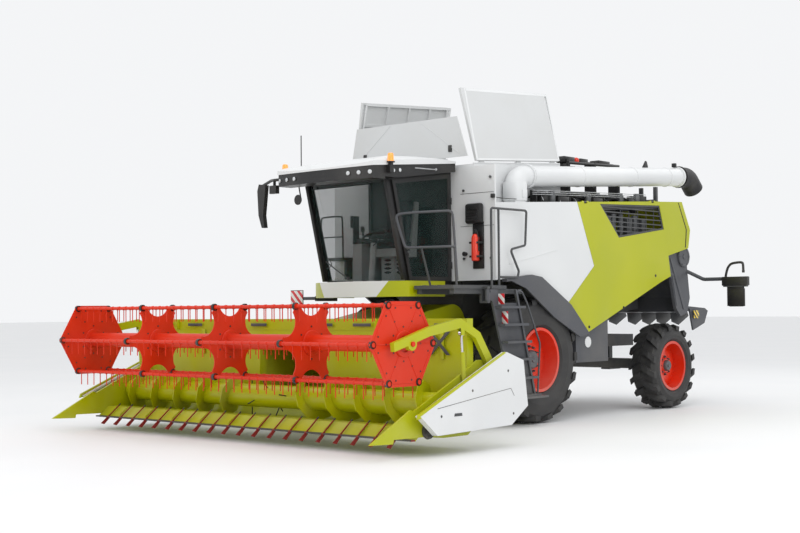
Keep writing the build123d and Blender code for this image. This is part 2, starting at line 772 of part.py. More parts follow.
# Cab: a frame of pillars, floor and rear wall
cab_outline = (
    (cab_rear_y, cab_floor_z), (cab_front_low_y, cab_floor_z), (cab_front_low_y, cab_sill_z),
    (cab_front_high_y, cab_roof_z), (cab_rear_y, cab_top(cab_rear_y)),
)
cab_hollow = (
    (cab_rear_y - 45, cab_floor_z + cab_floor_thickness), (cab_front_low_y - 900, cab_sill_z - 10),
    (cab_front_low_y - 900, cab_roof_z - 45), (cab_front_high_y, cab_roof_z - 45),
    (cab_rear_y - 45, cab_top(cab_rear_y) - 45),
)
window_outline = (
    (cab_rear_y - 80, cab_sill_z + 20), (cab_front_low_y + cab_pillar, cab_sill_z + 20),
    (cab_front_high_y + cab_pillar + 14, cab_roof_z - 60), (cab_rear_y - 80, cab_top(cab_rear_y - 80) - 60),
)
cab_wall = 45
door_axis = (cab_half_x + door_gap + door_thickness / 2, cab_rear_y - 30)
door_hinges = (2350, 3300)
hinge_length = 60
door_pin_radius = 8
door_knuckle_radius = 14
roof_rear_y = cab_rear_y - 70
visor_drop = 35
visor_rear_y = cab_front_high_y - screen_bulge - 20
roof_side_height = 60
roof_crown = 190
fascia_outline = (
    (roof_front_y, cab_roof_z - visor_drop), (visor_rear_y, cab_roof_z - visor_drop),
    (visor_rear_y, cab_roof_z),
    (cab_front_high_y, cab_roof_z), (roof_rear_y, cab_top(roof_rear_y)),
    (roof_rear_y, roof_edge(roof_rear_y)), (roof_front_y, roof_edge_front_z),
)
roof_outline = (
    (roof_rear_y, roof_edge(roof_rear_y)), (roof_rear_y, roof_top_z - 25), (-1900, roof_top_z),
    (-2450, roof_top_z - 25), (-2850, roof_top_z - 110), (roof_front_y, roof_edge_front_z + 25),
    (roof_front_y, roof_edge_front_z),
)


def roof_layer(outline, inset):
    """A layer of the roof: its side outline, cut to the roof's plan, whose front edge is an arc."""
    half = roof_half_x - inset
    corner_y = roof_corner_y + inset
    with BuildPart() as layer:
        side_slab(outline, -half, half)
        with BuildSketch(Plane.XY.offset(cab_sill_z)) as plan:
            with BuildLine():
                Polyline((half, corner_y), (half, roof_rear_y), (-half, roof_rear_y), (-half, corner_y))
                ThreePointArc((-half, corner_y), (0, roof_front_y + inset), (half, corner_y))
            make_face()
        extrude(plan.sketch, amount=roof_top_z - cab_sill_z, mode=Mode.INTERSECT)
    return layer.part


with BuildPart() as cab_frame:
    side_slab(cab_outline, -cab_half_x, cab_half_x)
    side_slab(cab_hollow, -(cab_half_x - cab_wall), cab_half_x - cab_wall, mode=Mode.SUBTRACT)
    side_slab(window_outline, -cab_half_x, cab_half_x, mode=Mode.SUBTRACT)
    add(roof_layer(fascia_outline, 12))
    for z in door_hinges:
        block((cab_half_x, door_axis[0]), (door_axis[1] - 14, door_axis[1] + 14), (z - 40, z - 1))
        with Locations((*door_axis, z - 1 + hinge_length / 2)):
            Cylinder(door_pin_radius, hinge_length)
        with Locations((*door_axis, z - 20.5)):
            Cylinder(door_pin_radius + 6, 39)
save(cab_frame.part, "cab_frame")
with BuildPart() as cab_roof:
    add(roof_layer(roof_outline, 0))
    with BuildSketch(Plane.XZ.offset(-roof_front_y)) as crown:
        with BuildLine():
            crown_half = roof_half_x + 20
            crown_edge_z = roof_edge_front_z + roof_side_height
            Polyline((-crown_half, crown_edge_z), (-crown_half, cab_roof_z), (crown_half, cab_roof_z),
                     (crown_half, crown_edge_z))
            ThreePointArc((crown_half, crown_edge_z), (0, crown_edge_z + roof_crown),
                          (-crown_half, crown_edge_z))
        make_face()
    extrude(crown.sketch, amount=2 * (roof_rear_y - roof_front_y), dir=(0, 1, roof_edge_rise),
            mode=Mode.INTERSECT)
save(cab_roof.part, "cab_roof")

# Roof fittings: the far mirror on its arm, a work lamp, the aerial and the feet of the beacons
fascia_x = roof_half_x - 12
mirror_arm = ((-fascia_x, -2860, 3640), (-1100, -2860, 3640), (-1250, -2780, 3650), (-1520, -2700, 3600))
# side, middle in y, z at the bottom
foot_places = ((1, -2600, 3615), (-1, -2750, 3600), (-1, -2420, 3630))
aerial_y = -2420
with BuildPart() as roof_fittings:
    tube(mirror_arm, 22, 60)
    with BuildSketch(Plane.XZ.offset(2660)) as mirror_outline:
        with BuildLine():
            Polyline((-1440, 3600), (-1590, 3620), (-1625, 3520), (-1600, 3150), (-1530, 2960),
                     (-1470, 2960), (-1500, 3150), close=True)
        make_face()
    extrude(mirror_outline.sketch, amount=70)
    block((-1180, -1040), (-2890, -2820), (3440, 3560))
    block((-1120, -1100), (-2870, -2830), (3550, 3650))
    for side, y, z in foot_places:
        block((side * fascia_x, side * (roof_half_x + 50)), (y - 40, y + 40), (z, z + 100))
        block((side * (roof_half_x + 4), side * (roof_half_x + 50)), (y - 25, y + 25), (z + 100, z + 150))
    with Locations((-(roof_half_x + 27), aerial_y, 4040)):
        Cylinder(8, 580)
save(roof_fittings.part, "roof_fittings")

# Cab door on the left with its glass, hung at the rear pillar
door_outline = (
    (door_axis[1] - 32, cab_sill_z - 10), (cab_front_low_y + 18, cab_sill_z - 10),
    (cab_front_high_y + 30, cab_roof_z - 22), (door_axis[1] - 32, cab_top(door_axis[1] - 32) - 22),
)
door_x = (cab_half_x + door_gap, cab_half_x + door_gap + door_thickness)
with BuildPart() as cab_door:
    with BuildSketch(Plane.YZ.offset(door_x[0])) as door_ring:
        with BuildLine():
            Polyline(*door_outline, close=True)
        make_face()
        offset(amount=-60, kind=Kind.INTERSECTION, mode=Mode.SUBTRACT)
    extrude(door_ring.sketch, amount=door_thickness)
    for z in door_hinges:
        block((door_x[0] + 1, door_x[1] - 1), (door_axis[1] - 40, door_axis[1]), (z, z + hinge_length))
        with Locations((*door_axis, z + hinge_length / 2)):
            Cylinder(door_knuckle_radius, hinge_length)
            Cylinder(door_pin_radius + bearing_clearance, hinge_length, mode=Mode.SUBTRACT)
save(cab_door.part, "cab_door")
with BuildPart() as door_glass:
    with BuildSketch(Plane.YZ.offset(door_x[0] + 10)) as door_pane:
        with BuildLine():
            Polyline(*door_outline, close=True)
        make_face()
        offset(amount=-60.3, kind=Kind.INTERSECTION)
    extrude(door_pane.sketch, amount=screen_thickness)
save(door_glass.part, "door_glass")

# Cab glass: the curved windscreen and the right-hand window
screen_slope = (0, cab_front_high_y - cab_front_low_y, cab_roof_z - cab_sill_z)
with BuildPart() as cab_glass:
    with BuildSketch(Plane.XY.offset(cab_sill_z)) as screen_plan:
        with BuildLine():
            edge_x = cab_half_x - 8
            near_y = cab_front_low_y - 0.3
            ThreePointArc((-edge_x, near_y), (0, near_y - screen_bulge), (edge_x, near_y))
            Line((edge_x, near_y), (edge_x, near_y - screen_thickness))
            ThreePointArc((edge_x, near_y - screen_thickness),
                          (0, near_y - screen_bulge - screen_thickness),
                          (-edge_x, near_y - screen_thickness))
            Line((-edge_x, near_y - screen_thickness), (-edge_x, near_y))
        make_face()
    extrude(screen_plan.sketch, amount=hypot(*screen_slope[1:]) - 0.5, dir=screen_slope)
    with BuildSketch(Plane.YZ.offset(-(cab_half_x - 15))) as window_pane:
        with BuildLine():
            Polyline(*window_outline, close=True)
        make_face()
        offset(amount=-0.3, kind=Kind.INTERSECTION)
    extrude(window_pane.sketch, amount=screen_thickness)
save(cab_glass.part, "cab_glass")

# Cab interior: seat, armrest console, steering column and screen
floor_top = cab_floor_z + cab_floor_thickness
with BuildPart() as cab_interior:
    block((-130, 130), (-1600, -1300), (floor_top, 2500))
    block((-260, 260), (-1720, -1240), (2500, 2620))
    with BuildSketch(Plane.YZ.offset(-240)) as backrest:
        with BuildLine():
            Polyline((-1340, 2600), (-1220, 2600), (-1160, 3330), (-1250, 3330), close=True)
        make_face()
    extrude(backrest.sketch, amount=480)
    block((-480, -300), (-1850, -1300), (floor_top, 2780))
    block((-430, -410), (-1900, -1780), (2700, 3100))
    tube(((0, -1960, floor_top + 5), (0, -1890, 2800)), 45, 0)
    with Locations(Location((0, -1880, 2810), (28, 0, 0))):
        Torus(190, 16)
        Box(360, 30, 16)
save(cab_interior.part, "cab_interior")

# Bumper: a white nose under the windscreen that wraps round both front corners of the cab
bumper_wall = 45
bumper_split = ((520, bumper_low_z - 1), (700, bumper_top_z + 1))
with BuildPart() as whole_bumper:
    with BuildSketch(Plane.XY.offset(bumper_low_z)) as bumper_plan:
        with BuildLine():
            side_y = cab_front_low_y - 110
            Polyline((bumper_half_x, side_y), (bumper_half_x, -1400),
                     (bumper_half_x - bumper_wall, -1400),
                     (bumper_half_x - bumper_wall, cab_front_low_y),
                     (-(bumper_half_x - bumper_wall), cab_front_low_y),
                     (-(bumper_half_x - bumper_wall), -1400), (-bumper_half_x, -1400),
                     (-bumper_half_x, side_y))
            ThreePointArc((-bumper_half_x, side_y), (0, side_y - 330), (bumper_half_x, side_y))
        make_face()
    extrude(bumper_plan.sketch, amount=bumper_top_z - bumper_low_z - 12)
    for side in (-1, 1):
        block((side * cab_half_x, side * (bumper_half_x - 10)), (-1460, -1410),
              (cab_floor_z, bumper_top_z - 20))
with BuildPart() as bumper_middle:
    with BuildSketch(Plane.XZ.offset(1000)) as middle_outline:
        with BuildLine():
            Polyline(bumper_split[0], bumper_split[1], (-bumper_split[1][0], bumper_split[1][1]),
                     (-bumper_split[0][0], bumper_split[0][1]), close=True)
        make_face()
    extrude(middle_outline.sketch, amount=2000)
with BuildPart() as cab_bumper:
    add(whole_bumper.part)
    add(bumper_middle.part, mode=Mode.INTERSECT)
save(cab_bumper.part, "cab_bumper")
with BuildPart() as bumper_corners:
    add(whole_bumper.part)
    add(bumper_middle.part, mode=Mode.SUBTRACT)
save(bumper_corners.part, "bumper_corners")

# Platform beside the cab with its handrail, and the post that the ladder hangs on
ladder_axis = (1745, -1440)
handrail_x = 1720
hoop_x = deck_outer_x - 30
ladder_pin_radius = 20
ladder_knuckle_radius = 34
knuckle_z = (1830, 1990)
with BuildPart() as platform:
    block((deck_inner_x, deck_outer_x), (deck_front_y, deck_rear_y),
          (deck_top_z - deck_thickness, deck_top_z))
    block((core_half_x, deck_outer_x), (core_front_y, core_front_y + 80), (1930, 2000))
    for x in (deck_inner_x + 60, deck_outer_x - 60):
        block((x - 40, x + 40), (deck_front_y + 40, core_front_y + 80), (1930, 2000))
    for z in (deck_top_z - deck_thickness, knuckle_z[0] - 32):
        block((deck_outer_x - 60, ladder_axis[0] + 30), (ladder_axis[1] - 30, ladder_axis[1] + 30),
              (z, z + 30))
    block((deck_outer_x - 60, deck_outer_x - 20), (ladder_axis[1] - 30, ladder_axis[1] + 30),
          (knuckle_z[0] - 32, deck_top_z - deck_thickness))
    with Locations((*ladder_axis, (knuckle_z[0] + knuckle_z[1]) / 2)):
        Cylinder(ladder_pin_radius, knuckle_z[1] - knuckle_z[0] + 40)
    tube(((hoop_x, -2010, deck_top_z - 10), (hoop_x, -2080, hoop_top_z), (hoop_x, -2130, hoop_top_z),
          (960, -2470, hoop_top_z - 20), (1030, -2370, hoop_middle_z), (hoop_x, -2100, hoop_middle_z),
          (hoop_x, -2040, hoop_middle_z)), rail_radius, 20)
    tube(((1250, -2085, deck_top_z - 10), (1250, -2276, hoop_middle_z)), rail_radius - 2, 0)
    block((deck_outer_x - 40, handrail_x + 20), (-1330, -1100), (deck_top_z - deck_thickness, deck_top_z))
    tube(((handrail_x, -1300, deck_top_z - 10), (handrail_x, -1300, handrail_top_z),
          (handrail_x, -460, handrail_top_z), (handrail_x, -500, 2640), (handrail_x, -860, 2570),
          (handrail_x, -660, 2260), (handrail_x, -690, 2170), (handrail_x, -1130, 2170)), rail_radius, 40)
    tube(((handrail_x, -1130, deck_top_z - 10), (handrail_x, -1130, handrail_top_z - 5)), rail_radius, 0)
save(platform.part, "platform")

# Boarding ladder, swung back along the wheel: a broad front stile, a narrow rear stile, a back sheet,
# flat treads, a hand tube and the knuckle on the platform's pin
stile_thickness = 35
front_stile = ((-1390, 1990), (-1215, 1990), (-750, 340), (-850, 340))
rear_stile = ((-790, 1990), (-750, 1990), (-300, 400), (-340, 400))
ladder_outer_x = ladder_x + 150
# height and the two ends of each tread
treads = ((1720, -1270, -700), (1470, -1200, -630), (1220, -1130, -560), (970, -1060, -490),
          (700, -980, -410), (440, -905, -340))
with BuildPart() as ladder:
    for outline in (front_stile, rear_stile):
        side_slab(outline, ladder_x, ladder_x + stile_thickness)
    side_slab(((-1240, 1800), (-740, 1800), (-330, 430), (-850, 430)), ladder_x, ladder_x + 12)
    for z, front, rear in treads:
        block((ladder_x + 5, ladder_outer_x), (front, rear), (z, z + 35))
    block((ladder_x, ladder_outer_x + 60), (-905, -240), (420, 450))
    tube(((ladder_x + 18, -770, 1950), (ladder_x + 18, -640, 1990), (ladder_x + 18, -500, 1800),
          (ladder_x + 18, -190, 1200), (ladder_x + 18, -260, 440)), 14, 100)
    with Locations((*ladder_axis, (knuckle_z[0] + knuckle_z[1]) / 2)):
        Cylinder(ladder_knuckle_radius, knuckle_z[1] - knuckle_z[0] - 1)
    block((ladder_axis[0] - 20, ladder_axis[0] + 10), (ladder_axis[1] + 10, front_stile[0][0] + 60),
          (knuckle_z[0] + 2, knuckle_z[1] - 42))
    with Locations((*ladder_axis, (knuckle_z[0] + knuckle_z[1]) / 2)):
        Cylinder(ladder_pin_radius + bearing_clearance, 400, mode=Mode.SUBTRACT)
save(ladder.part, "ladder")

# Feeder house: a sloping tunnel that hinges on two pins in front of the threshing body
feeder_front_y = table_back_y
feeder_front_z = (400, 1330)
feeder_bottom_y = lift_axis_y - 100
feeder_bottom_z = lift_axis_z - sqrt(feeder_radius**2 - 100**2)
feeder_outline = (
    (lift_axis_y, lift_axis_z + feeder_radius), (feeder_front_y, feeder_front_z[1]),
    (feeder_front_y, feeder_front_z[0]), (feeder_bottom_y, feeder_bottom_z),
    (lift_axis_y, lift_axis_z - feeder_radius),
)
feeder_tunnel = (
    (lift_axis_y - 120, lift_axis_z + feeder_radius - 70), (feeder_front_y - 50, feeder_front_z[1] - 50),
    (feeder_front_y - 50, feeder_front_z[0] + 50), (lift_axis_y - 120, feeder_bottom_z + 70),
)
with BuildPart() as feeder_house:
    side_slab(feeder_outline, -feeder_half_x, feeder_half_x)
    cross_shaft(lift_axis_y, lift_axis_z, feeder_radius, -feeder_half_x, feeder_half_x)
    side_slab(feeder_tunnel, -(feeder_half_x - feeder_wall), feeder_half_x - feeder_wall,
              mode=Mode.SUBTRACT)
    cross_shaft(lift_axis_y, lift_axis_z, feeder_pin_radius + bearing_clearance, -feeder_half_x,
                feeder_half_x, mode=Mode.SUBTRACT)
    for side in (-1, 1):
        for x in (lift_x - 50, lift_x + 30):
            lug = ((lift_eye[0] - 120, lift_eye[1] + 140), (lift_eye[0] + 120, lift_eye[1] + 60),
                   (lift_eye[0] + 40, lift_eye[1] - 35), (lift_eye[0] - 40, lift_eye[1] - 35))
            side_slab(lug, side * x, side * (x + 20))
        cross_shaft(*lift_eye, lift_pin_radius, side * (lift_x - 50), side * (lift_x + 50))
save(feeder_house.part, "feeder_house")
def cylinder_frame(base, eye, x):
    """A plane at a cylinder's base pin whose normal points at its rod's eye."""
    run, rise = eye[0] - base[0], eye[1] - base[1]
    length = hypot(run, rise)
    return Plane(origin=(x, *base), x_dir=(1, 0, 0), z_dir=(0, run / length, rise / length)), length


def barrel(base, eye, x, pin, radius, length, rod, width):
    """A hydraulic barrel on its base pin, bored for the rod."""
    plane, reach = cylinder_frame(base, eye, x)
    with BuildPart() as body:
        cross_shaft(*base, pin * 2, x - width / 2, x + width / 2)
        with BuildSketch(plane):
            Circle(pin * 1.2)
        extrude(amount=pin * 3)
        with BuildSketch(plane.offset(pin * 2 + 6)):
            Circle(radius)
        extrude(amount=length - pin * 2 - 6)
        with BuildSketch(plane.offset(pin * 2 + 36)):
            Circle(rod + bearing_clearance)
        extrude(amount=length, mode=Mode.SUBTRACT)
        cross_shaft(*base, pin + bearing_clearance, x - width, x + width, mode=Mode.SUBTRACT)
    return body.part


def piston_rod(base, eye, x, pin, length, radius, eye_radius, width):
    """A piston rod with its eye, which has room to move on its pin."""
    plane, reach = cylinder_frame(base, eye, x)
    with BuildPart() as body:
        with BuildSketch(plane.offset(reach - length)):
            Circle(radius)
        extrude(amount=length - pin)
        cross_shaft(*eye, eye_radius, x - width / 2, x + width / 2)
        cross_shaft(*eye, pin + lift_eye_clearance, x - width, x + width, mode=Mode.SUBTRACT)
    return body.part


# Lift cylinders of the feeder house
lift_barrel_radius = 55
lift_rod_radius = 30
lift_barrel_length = 1080
lift_rod_length = 960
with BuildPart() as lift_barrels:
    both_sides(barrel(lift_base, lift_eye, lift_x, lift_pin_radius, lift_barrel_radius,
                      lift_barrel_length, lift_rod_radius, 56))
save(lift_barrels.part, "lift_barrels")
with BuildPart() as lift_rods:
    both_sides(piston_rod(lift_base, lift_eye, lift_x, lift_pin_radius, lift_rod_length,
                          lift_rod_radius, lift_eye_radius, 56))
save(lift_rods.part, "lift_rods")

# Cutting table: floor, trough and back wall as one bent sheet, side walls and the rear frame
sheet = 22
strip_y = -4376
strip_z = 330
trough_lip = (-4183, 327)
mouth_half_x = 640
mouth_z = (480, 1250)
wall_outline = (
    (divider_tip_y, divider_tip_z), (-4950, 185), (-4935, 235), (-4400, 225), (-4060, 190),
    (-3600, 190), (-3420, 330), (-3100, 620), (-3100, 1090), (-3400, 1090), (-3670, 950),
    (-4580, 535), (-4640, 553),
)
reel_base = (-3700, 640)
reel_eye = (-3760, 1425)
reel_lift_x = arm_x
reel_pin_radius = 14
shaft_radius = 30
with BuildPart() as header_frame:
    with BuildSketch(Plane.YZ.offset(-table_half_x)) as table_section:
        with BuildLine():
            Polyline((knife_y, knife_z - 10), (strip_y, strip_z), trough_lip)
            ThreePointArc(trough_lip, (auger_y, auger_z - trough_radius), (auger_y + trough_radius, auger_z))
            Polyline((auger_y + trough_radius, auger_z),
                     (auger_y + trough_radius + 30, beam_top_z - beam_height),
                     (auger_y + trough_radius + 30 + sheet, beam_top_z - beam_height),
                     (auger_y + trough_radius + sheet, auger_z))
            ThreePointArc((auger_y + trough_radius + sheet, auger_z),
                          (auger_y, auger_z - trough_radius - sheet),
                          (trough_lip[0] - 16, trough_lip[1] - 22))
            Polyline((trough_lip[0] - 16, trough_lip[1] - 22), (strip_y, strip_z - 26),
                     (knife_y, knife_z - 32), (knife_y, knife_z - 10))
        make_face()
    extrude(table_section.sketch, amount=2 * table_half_x)
    beam_y = (auger_y + trough_radius + 25, table_back_y)
    block((-table_half_x, table_half_x), beam_y, (beam_top_z - beam_height, beam_top_z))
    block((-table_half_x, table_half_x), (beam_y[0] + 10, table_back_y), (330, 450))
    for x in (mouth_half_x, 1850, table_half_x - 60):
        for side in (-1, 1):
            block((side * x, side * (x + 60)), (beam_y[0] + 10, table_back_y), (440, beam_top_z - 20))
    for side in (-1, 1):
        side_slab(wall_outline, side * table_half_x, side * (table_half_x + table_wall))
        cross_shaft(arm_pivot_y, arm_pivot_z, 25, side * table_half_x, side * (arm_x + arm_width / 2 + 20))
    block((-mouth_half_x, mouth_half_x), (auger_y + 250, auger_y + trough_radius + 60), mouth_z,
          mode=Mode.SUBTRACT)
    cross_shaft(auger_y, auger_z, shaft_radius + bearing_clearance, -table_half_x - 100,
                table_half_x + 100, mode=Mode.SUBTRACT)
    for side in (-1, 1):
        cross_shaft(*reel_base, reel_pin_radius + bearing_clearance, side * (table_half_x - 20),
                    side * (table_half_x + 100), mode=Mode.SUBTRACT)
save(header_frame.part, "header_frame")

# White shields outside the side walls, each a shallow tray on three struts
shield_outline = (
    (-4700, 490), (-3070, 1180), (-2730, 1070), (-2650, 500), (-2990, 280), (-4400, 250),
)
shield_hollow = (
    (-4640, 490), (-3072, 1152), (-2755, 1050), (-2678, 510), (-2998, 308), (-4388, 278),
)
shield_inner_x = 3245
strut_places = ((-4250, 400), (-3650, 330), (-3150, 700))
with BuildPart() as half_shields:
    side_slab(shield_outline, shield_inner_x, shield_outer_x)
    side_slab(shield_hollow, shield_inner_x, shield_outer_x - 20, mode=Mode.SUBTRACT)
    for y, z in strut_places:
        cross_shaft(y, z, 18, table_half_x + table_wall, shield_outer_x - 10)
with BuildPart() as header_shields:
    both_sides(half_shields.part)
save(header_shields.part, "header_shields")

# Intake auger: a tube with two opposite flights that feed the middle, and fingers between them
flight_start = 620
flight_end = 3040
sections_per_turn = 10
finger_count = 5
finger_pitch = 210
finger_radius = 8
finger_length = 130
auger_half_x = table_half_x - 20


def flight(side):
    """A flight as one ruled loft through radial sections."""
    step = flight_pitch / sections_per_turn
    sections = int((flight_end - flight_start) / step) + 1
    middle = (auger_tube_radius + flight_radius) / 2 - 2
    with BuildPart() as body:
        for i in range(sections):
            angle = radians(i * 360 / sections_per_turn)
            out = (0, -sin(angle), cos(angle))
            around = (0, -cos(angle), -sin(angle))
            x = side * (flight_start + i * step)
            where = (x, auger_y + middle * out[1], auger_z + middle * out[2])
            with BuildSketch(Plane(origin=where, x_dir=out, z_dir=around)):
                Rectangle(flight_radius - auger_tube_radius + 4, flight_thickness)
        loft(ruled=True)
    return body.part


with BuildPart() as auger:
    cross_shaft(auger_y, auger_z, auger_tube_radius, -auger_half_x, auger_half_x)
    cross_shaft(auger_y, auger_z, shaft_radius, -table_half_x - table_wall, table_half_x + table_wall)
    for side in (-1, 1):
        add(flight(side))
    for i in range(finger_count):
        x = (i - (finger_count - 1) / 2) * finger_pitch
        turn = i * 70
        for k in range(2):
            angle = radians(turn + k * 180)
            out = (0, sin(angle), cos(angle))
            root = (x, auger_y + out[1] * (auger_tube_radius - 5), auger_z + out[2] * (auger_tube_radius - 5))
            with BuildSketch(Plane(origin=root, x_dir=(1, 0, 0), z_dir=out)):
                Circle(finger_radius)
            extrude(amount=finger_length)
save(auger.part, "auger")

# Knife bar along the table's front edge with the crop lifters that reach ahead of it
knife_bar_y = (knife_y - 66, knife_y)
lifter_runner = (
    (lifter_tip_y, lifter_tip_z), (-4660, 92), (-4560, knife_z - 30), (-4560, knife_z - 5),
    (-4660, 122),
)
lifter_rod = ((lifter_tip_y, lifter_tip_z), (-4685, 106), (-4362, 366), (-4370, 378), (-4700, 118))
with BuildPart() as knife_bar:
    block((-table_half_x + 2, table_half_x - 2), knife_bar_y, (knife_z - 30, knife_z - 12))
    for i in range(lifter_count):
        x = (i - (lifter_count - 1) / 2) * lifter_pitch
        side_slab(lifter_runner, x - 14, x + 14)
        side_slab(lifter_rod, x - 6, x + 6)
save(knife_bar.part, "knife_bar")

# Reel arms: a bent beam at each end with the bearing of the reel's shaft and a lug for its cylinder
arm_outline = (
    (-5000, 1335), (-4370, 1510), (-3790, 1605), (-3430, 1430), (-3250, 1180), (-3150, 1040),
    (-3250, 975), (-3350, 1130), (-3520, 1365), (-3790, 1490), (-4370, 1400), (-4985, 1235),
)
arm_half = arm_width / 2
with BuildPart() as half_arms:
    side_slab(arm_outline, arm_x - arm_half, arm_x + arm_half)
    cross_shaft(reel_y, reel_z, 75, arm_x - arm_half, arm_x + arm_half)
    cross_shaft(arm_pivot_y, arm_pivot_z, 60, arm_x - arm_half, arm_x + arm_half)
    lug = ((reel_eye[0] - 45, reel_eye[1] + 110), (reel_eye[0] + 45, reel_eye[1] + 110),
           (reel_eye[0] + 25, reel_eye[1] - 25), (reel_eye[0] - 25, reel_eye[1] - 25))
    for x in (arm_x - arm_half, arm_x + arm_half - 8):
        side_slab(lug, x, x + 8)
    cross_shaft(*reel_eye, reel_pin_radius, arm_x - arm_half, arm_x + arm_half)
    cross_shaft(reel_y, reel_z, shaft_radius + bearing_clearance, arm_x - 100, arm_x + 100,
                mode=Mode.SUBTRACT)
    cross_shaft(arm_pivot_y, arm_pivot_z, 25 + bearing_clearance, arm_x - 100, arm_x + 100,
                mode=Mode.SUBTRACT)
with BuildPart() as reel_arms:
    both_sides(half_arms.part)
save(reel_arms.part, "reel_arms")

# Cylinders that lift the reel, each barrel on a pin of its own in the table's side wall
reel_barrel_radius = 30
reel_rod_radius = 15
reel_barrel_length = 560
reel_rod_length = 600
with BuildPart() as half_barrels:
    add(barrel(reel_base, reel_eye, reel_lift_x, reel_pin_radius, reel_barrel_radius,
               reel_barrel_length, reel_rod_radius, 40))
    cross_shaft(*reel_base, reel_pin_radius + 5, reel_lift_x - 24, reel_lift_x + 24)
    cross_shaft(*reel_base, reel_pin_radius, table_half_x + 3, reel_lift_x + 32)
with BuildPart() as reel_barrels:
    both_sides(half_barrels.part)
save(reel_barrels.part, "reel_barrels")
with BuildPart() as reel_rods:
    both_sides(piston_rod(reel_base, reel_eye, reel_lift_x, reel_pin_radius, reel_rod_length,
                          reel_rod_radius, 35, 36))
save(reel_rods.part, "reel_rods")

# Reel: a tube with solid end plates and open spiders, which carry six tine bars in bearings
boss_radius = 40
boss_length = 44
bay = (2 * reel_half_x - reel_plate) / bay_count


def bar_centre(i):
    """Where tine bar i crosses the reel's plates, as (y, z)."""
    angle = radians(i * 360 / bar_count)
    return reel_y + bar_circle * cos(angle), reel_z + bar_circle * sin(angle)


with BuildPart() as reel:
    cross_shaft(reel_y, reel_z, reel_tube_radius, -reel_half_x, reel_half_x)
    cross_shaft(reel_y, reel_z, shaft_radius, -(arm_x + arm_half + 20), arm_x + arm_half + 20)
    for k in range(bay_count + 1):
        x = -reel_half_x + reel_plate / 2 + k * bay
        end = k in (0, bay_count)
        with BuildSketch(Plane.YZ.offset(x - reel_plate / 2)) as plate:
            with Locations((reel_y, reel_z)):
                RegularPolygon(reel_radius if end else bar_circle, bar_count)
                if not end:
                    with PolarLocations(bar_circle, bar_count, start_angle=180 / bar_count):
                        Circle(bar_circle * 0.36, mode=Mode.SUBTRACT)
        extrude(plate.sketch, amount=reel_plate)
        for i in range(bar_count):
            cross_shaft(*bar_centre(i), boss_radius, x - boss_length / 2, x + boss_length / 2)
    for i in range(bar_count):
        cross_shaft(*bar_centre(i), bar_radius + bearing_clearance, -reel_half_x - 60, reel_half_x + 60,
                    mode=Mode.SUBTRACT)
save(reel.part, "reel")

# Tine bars: each keeps its spring tines hanging down while the reel turns
tines_per_bay = 10
with BuildPart() as plain_bar:
    cross_shaft(0, 0, bar_radius, -reel_half_x - 12, reel_half_x + 12)
    for k in range(tines_per_bay * bay_count):
        x = (k - (tines_per_bay * bay_count - 1) / 2) * tine_pitch
        block((x - tine_size / 2, x + tine_size / 2), (-tine_size / 2, tine_size / 2),
              (-tine_length, -bar_radius + 4))
for i in range(bar_count):
    with BuildPart() as tine_bar:
        with Locations((0, *bar_centre(i))):
            add(plain_bar.part)
    save(tine_bar.part, f"tine_bar_{i + 1}")
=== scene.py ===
from math import cos, pi, radians, sin

import bpy
from mathutils import Matrix, Vector


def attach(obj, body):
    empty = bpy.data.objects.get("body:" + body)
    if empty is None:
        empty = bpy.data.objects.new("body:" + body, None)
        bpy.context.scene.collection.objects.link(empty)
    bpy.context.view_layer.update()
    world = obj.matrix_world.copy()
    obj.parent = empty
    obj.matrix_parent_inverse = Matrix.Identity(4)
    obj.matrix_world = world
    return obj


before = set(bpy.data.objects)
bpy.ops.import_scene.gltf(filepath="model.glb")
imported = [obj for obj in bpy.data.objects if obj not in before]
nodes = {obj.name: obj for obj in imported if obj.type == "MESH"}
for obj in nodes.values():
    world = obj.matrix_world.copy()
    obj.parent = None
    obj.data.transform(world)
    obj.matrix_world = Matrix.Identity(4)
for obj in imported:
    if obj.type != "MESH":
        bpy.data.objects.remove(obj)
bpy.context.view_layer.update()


# The camera stands about twenty metres off the machine's front left corner at head height,
# with the long lens that gives the photograph's flat perspective.
camera_place = (13.281, -16.085, 1.711)
turn = radians(41.99)
rise = radians(1.883)
tilt = radians(-0.493)
bpy.ops.object.camera_add()
camera = bpy.context.object
camera.matrix_world = (
    Matrix.Translation(camera_place)
    @ Matrix.Rotation(turn, 4, "Z") @ Matrix.Rotation(radians(90) + rise, 4, "X")
    @ Matrix.Rotation(tilt, 4, "Z")
)
camera.data.sensor_fit = "HORIZONTAL"
camera.data.sensor_width = 36
camera.data.lens = 59.49
camera.data.clip_end = 500
bpy.context.scene.camera = camera


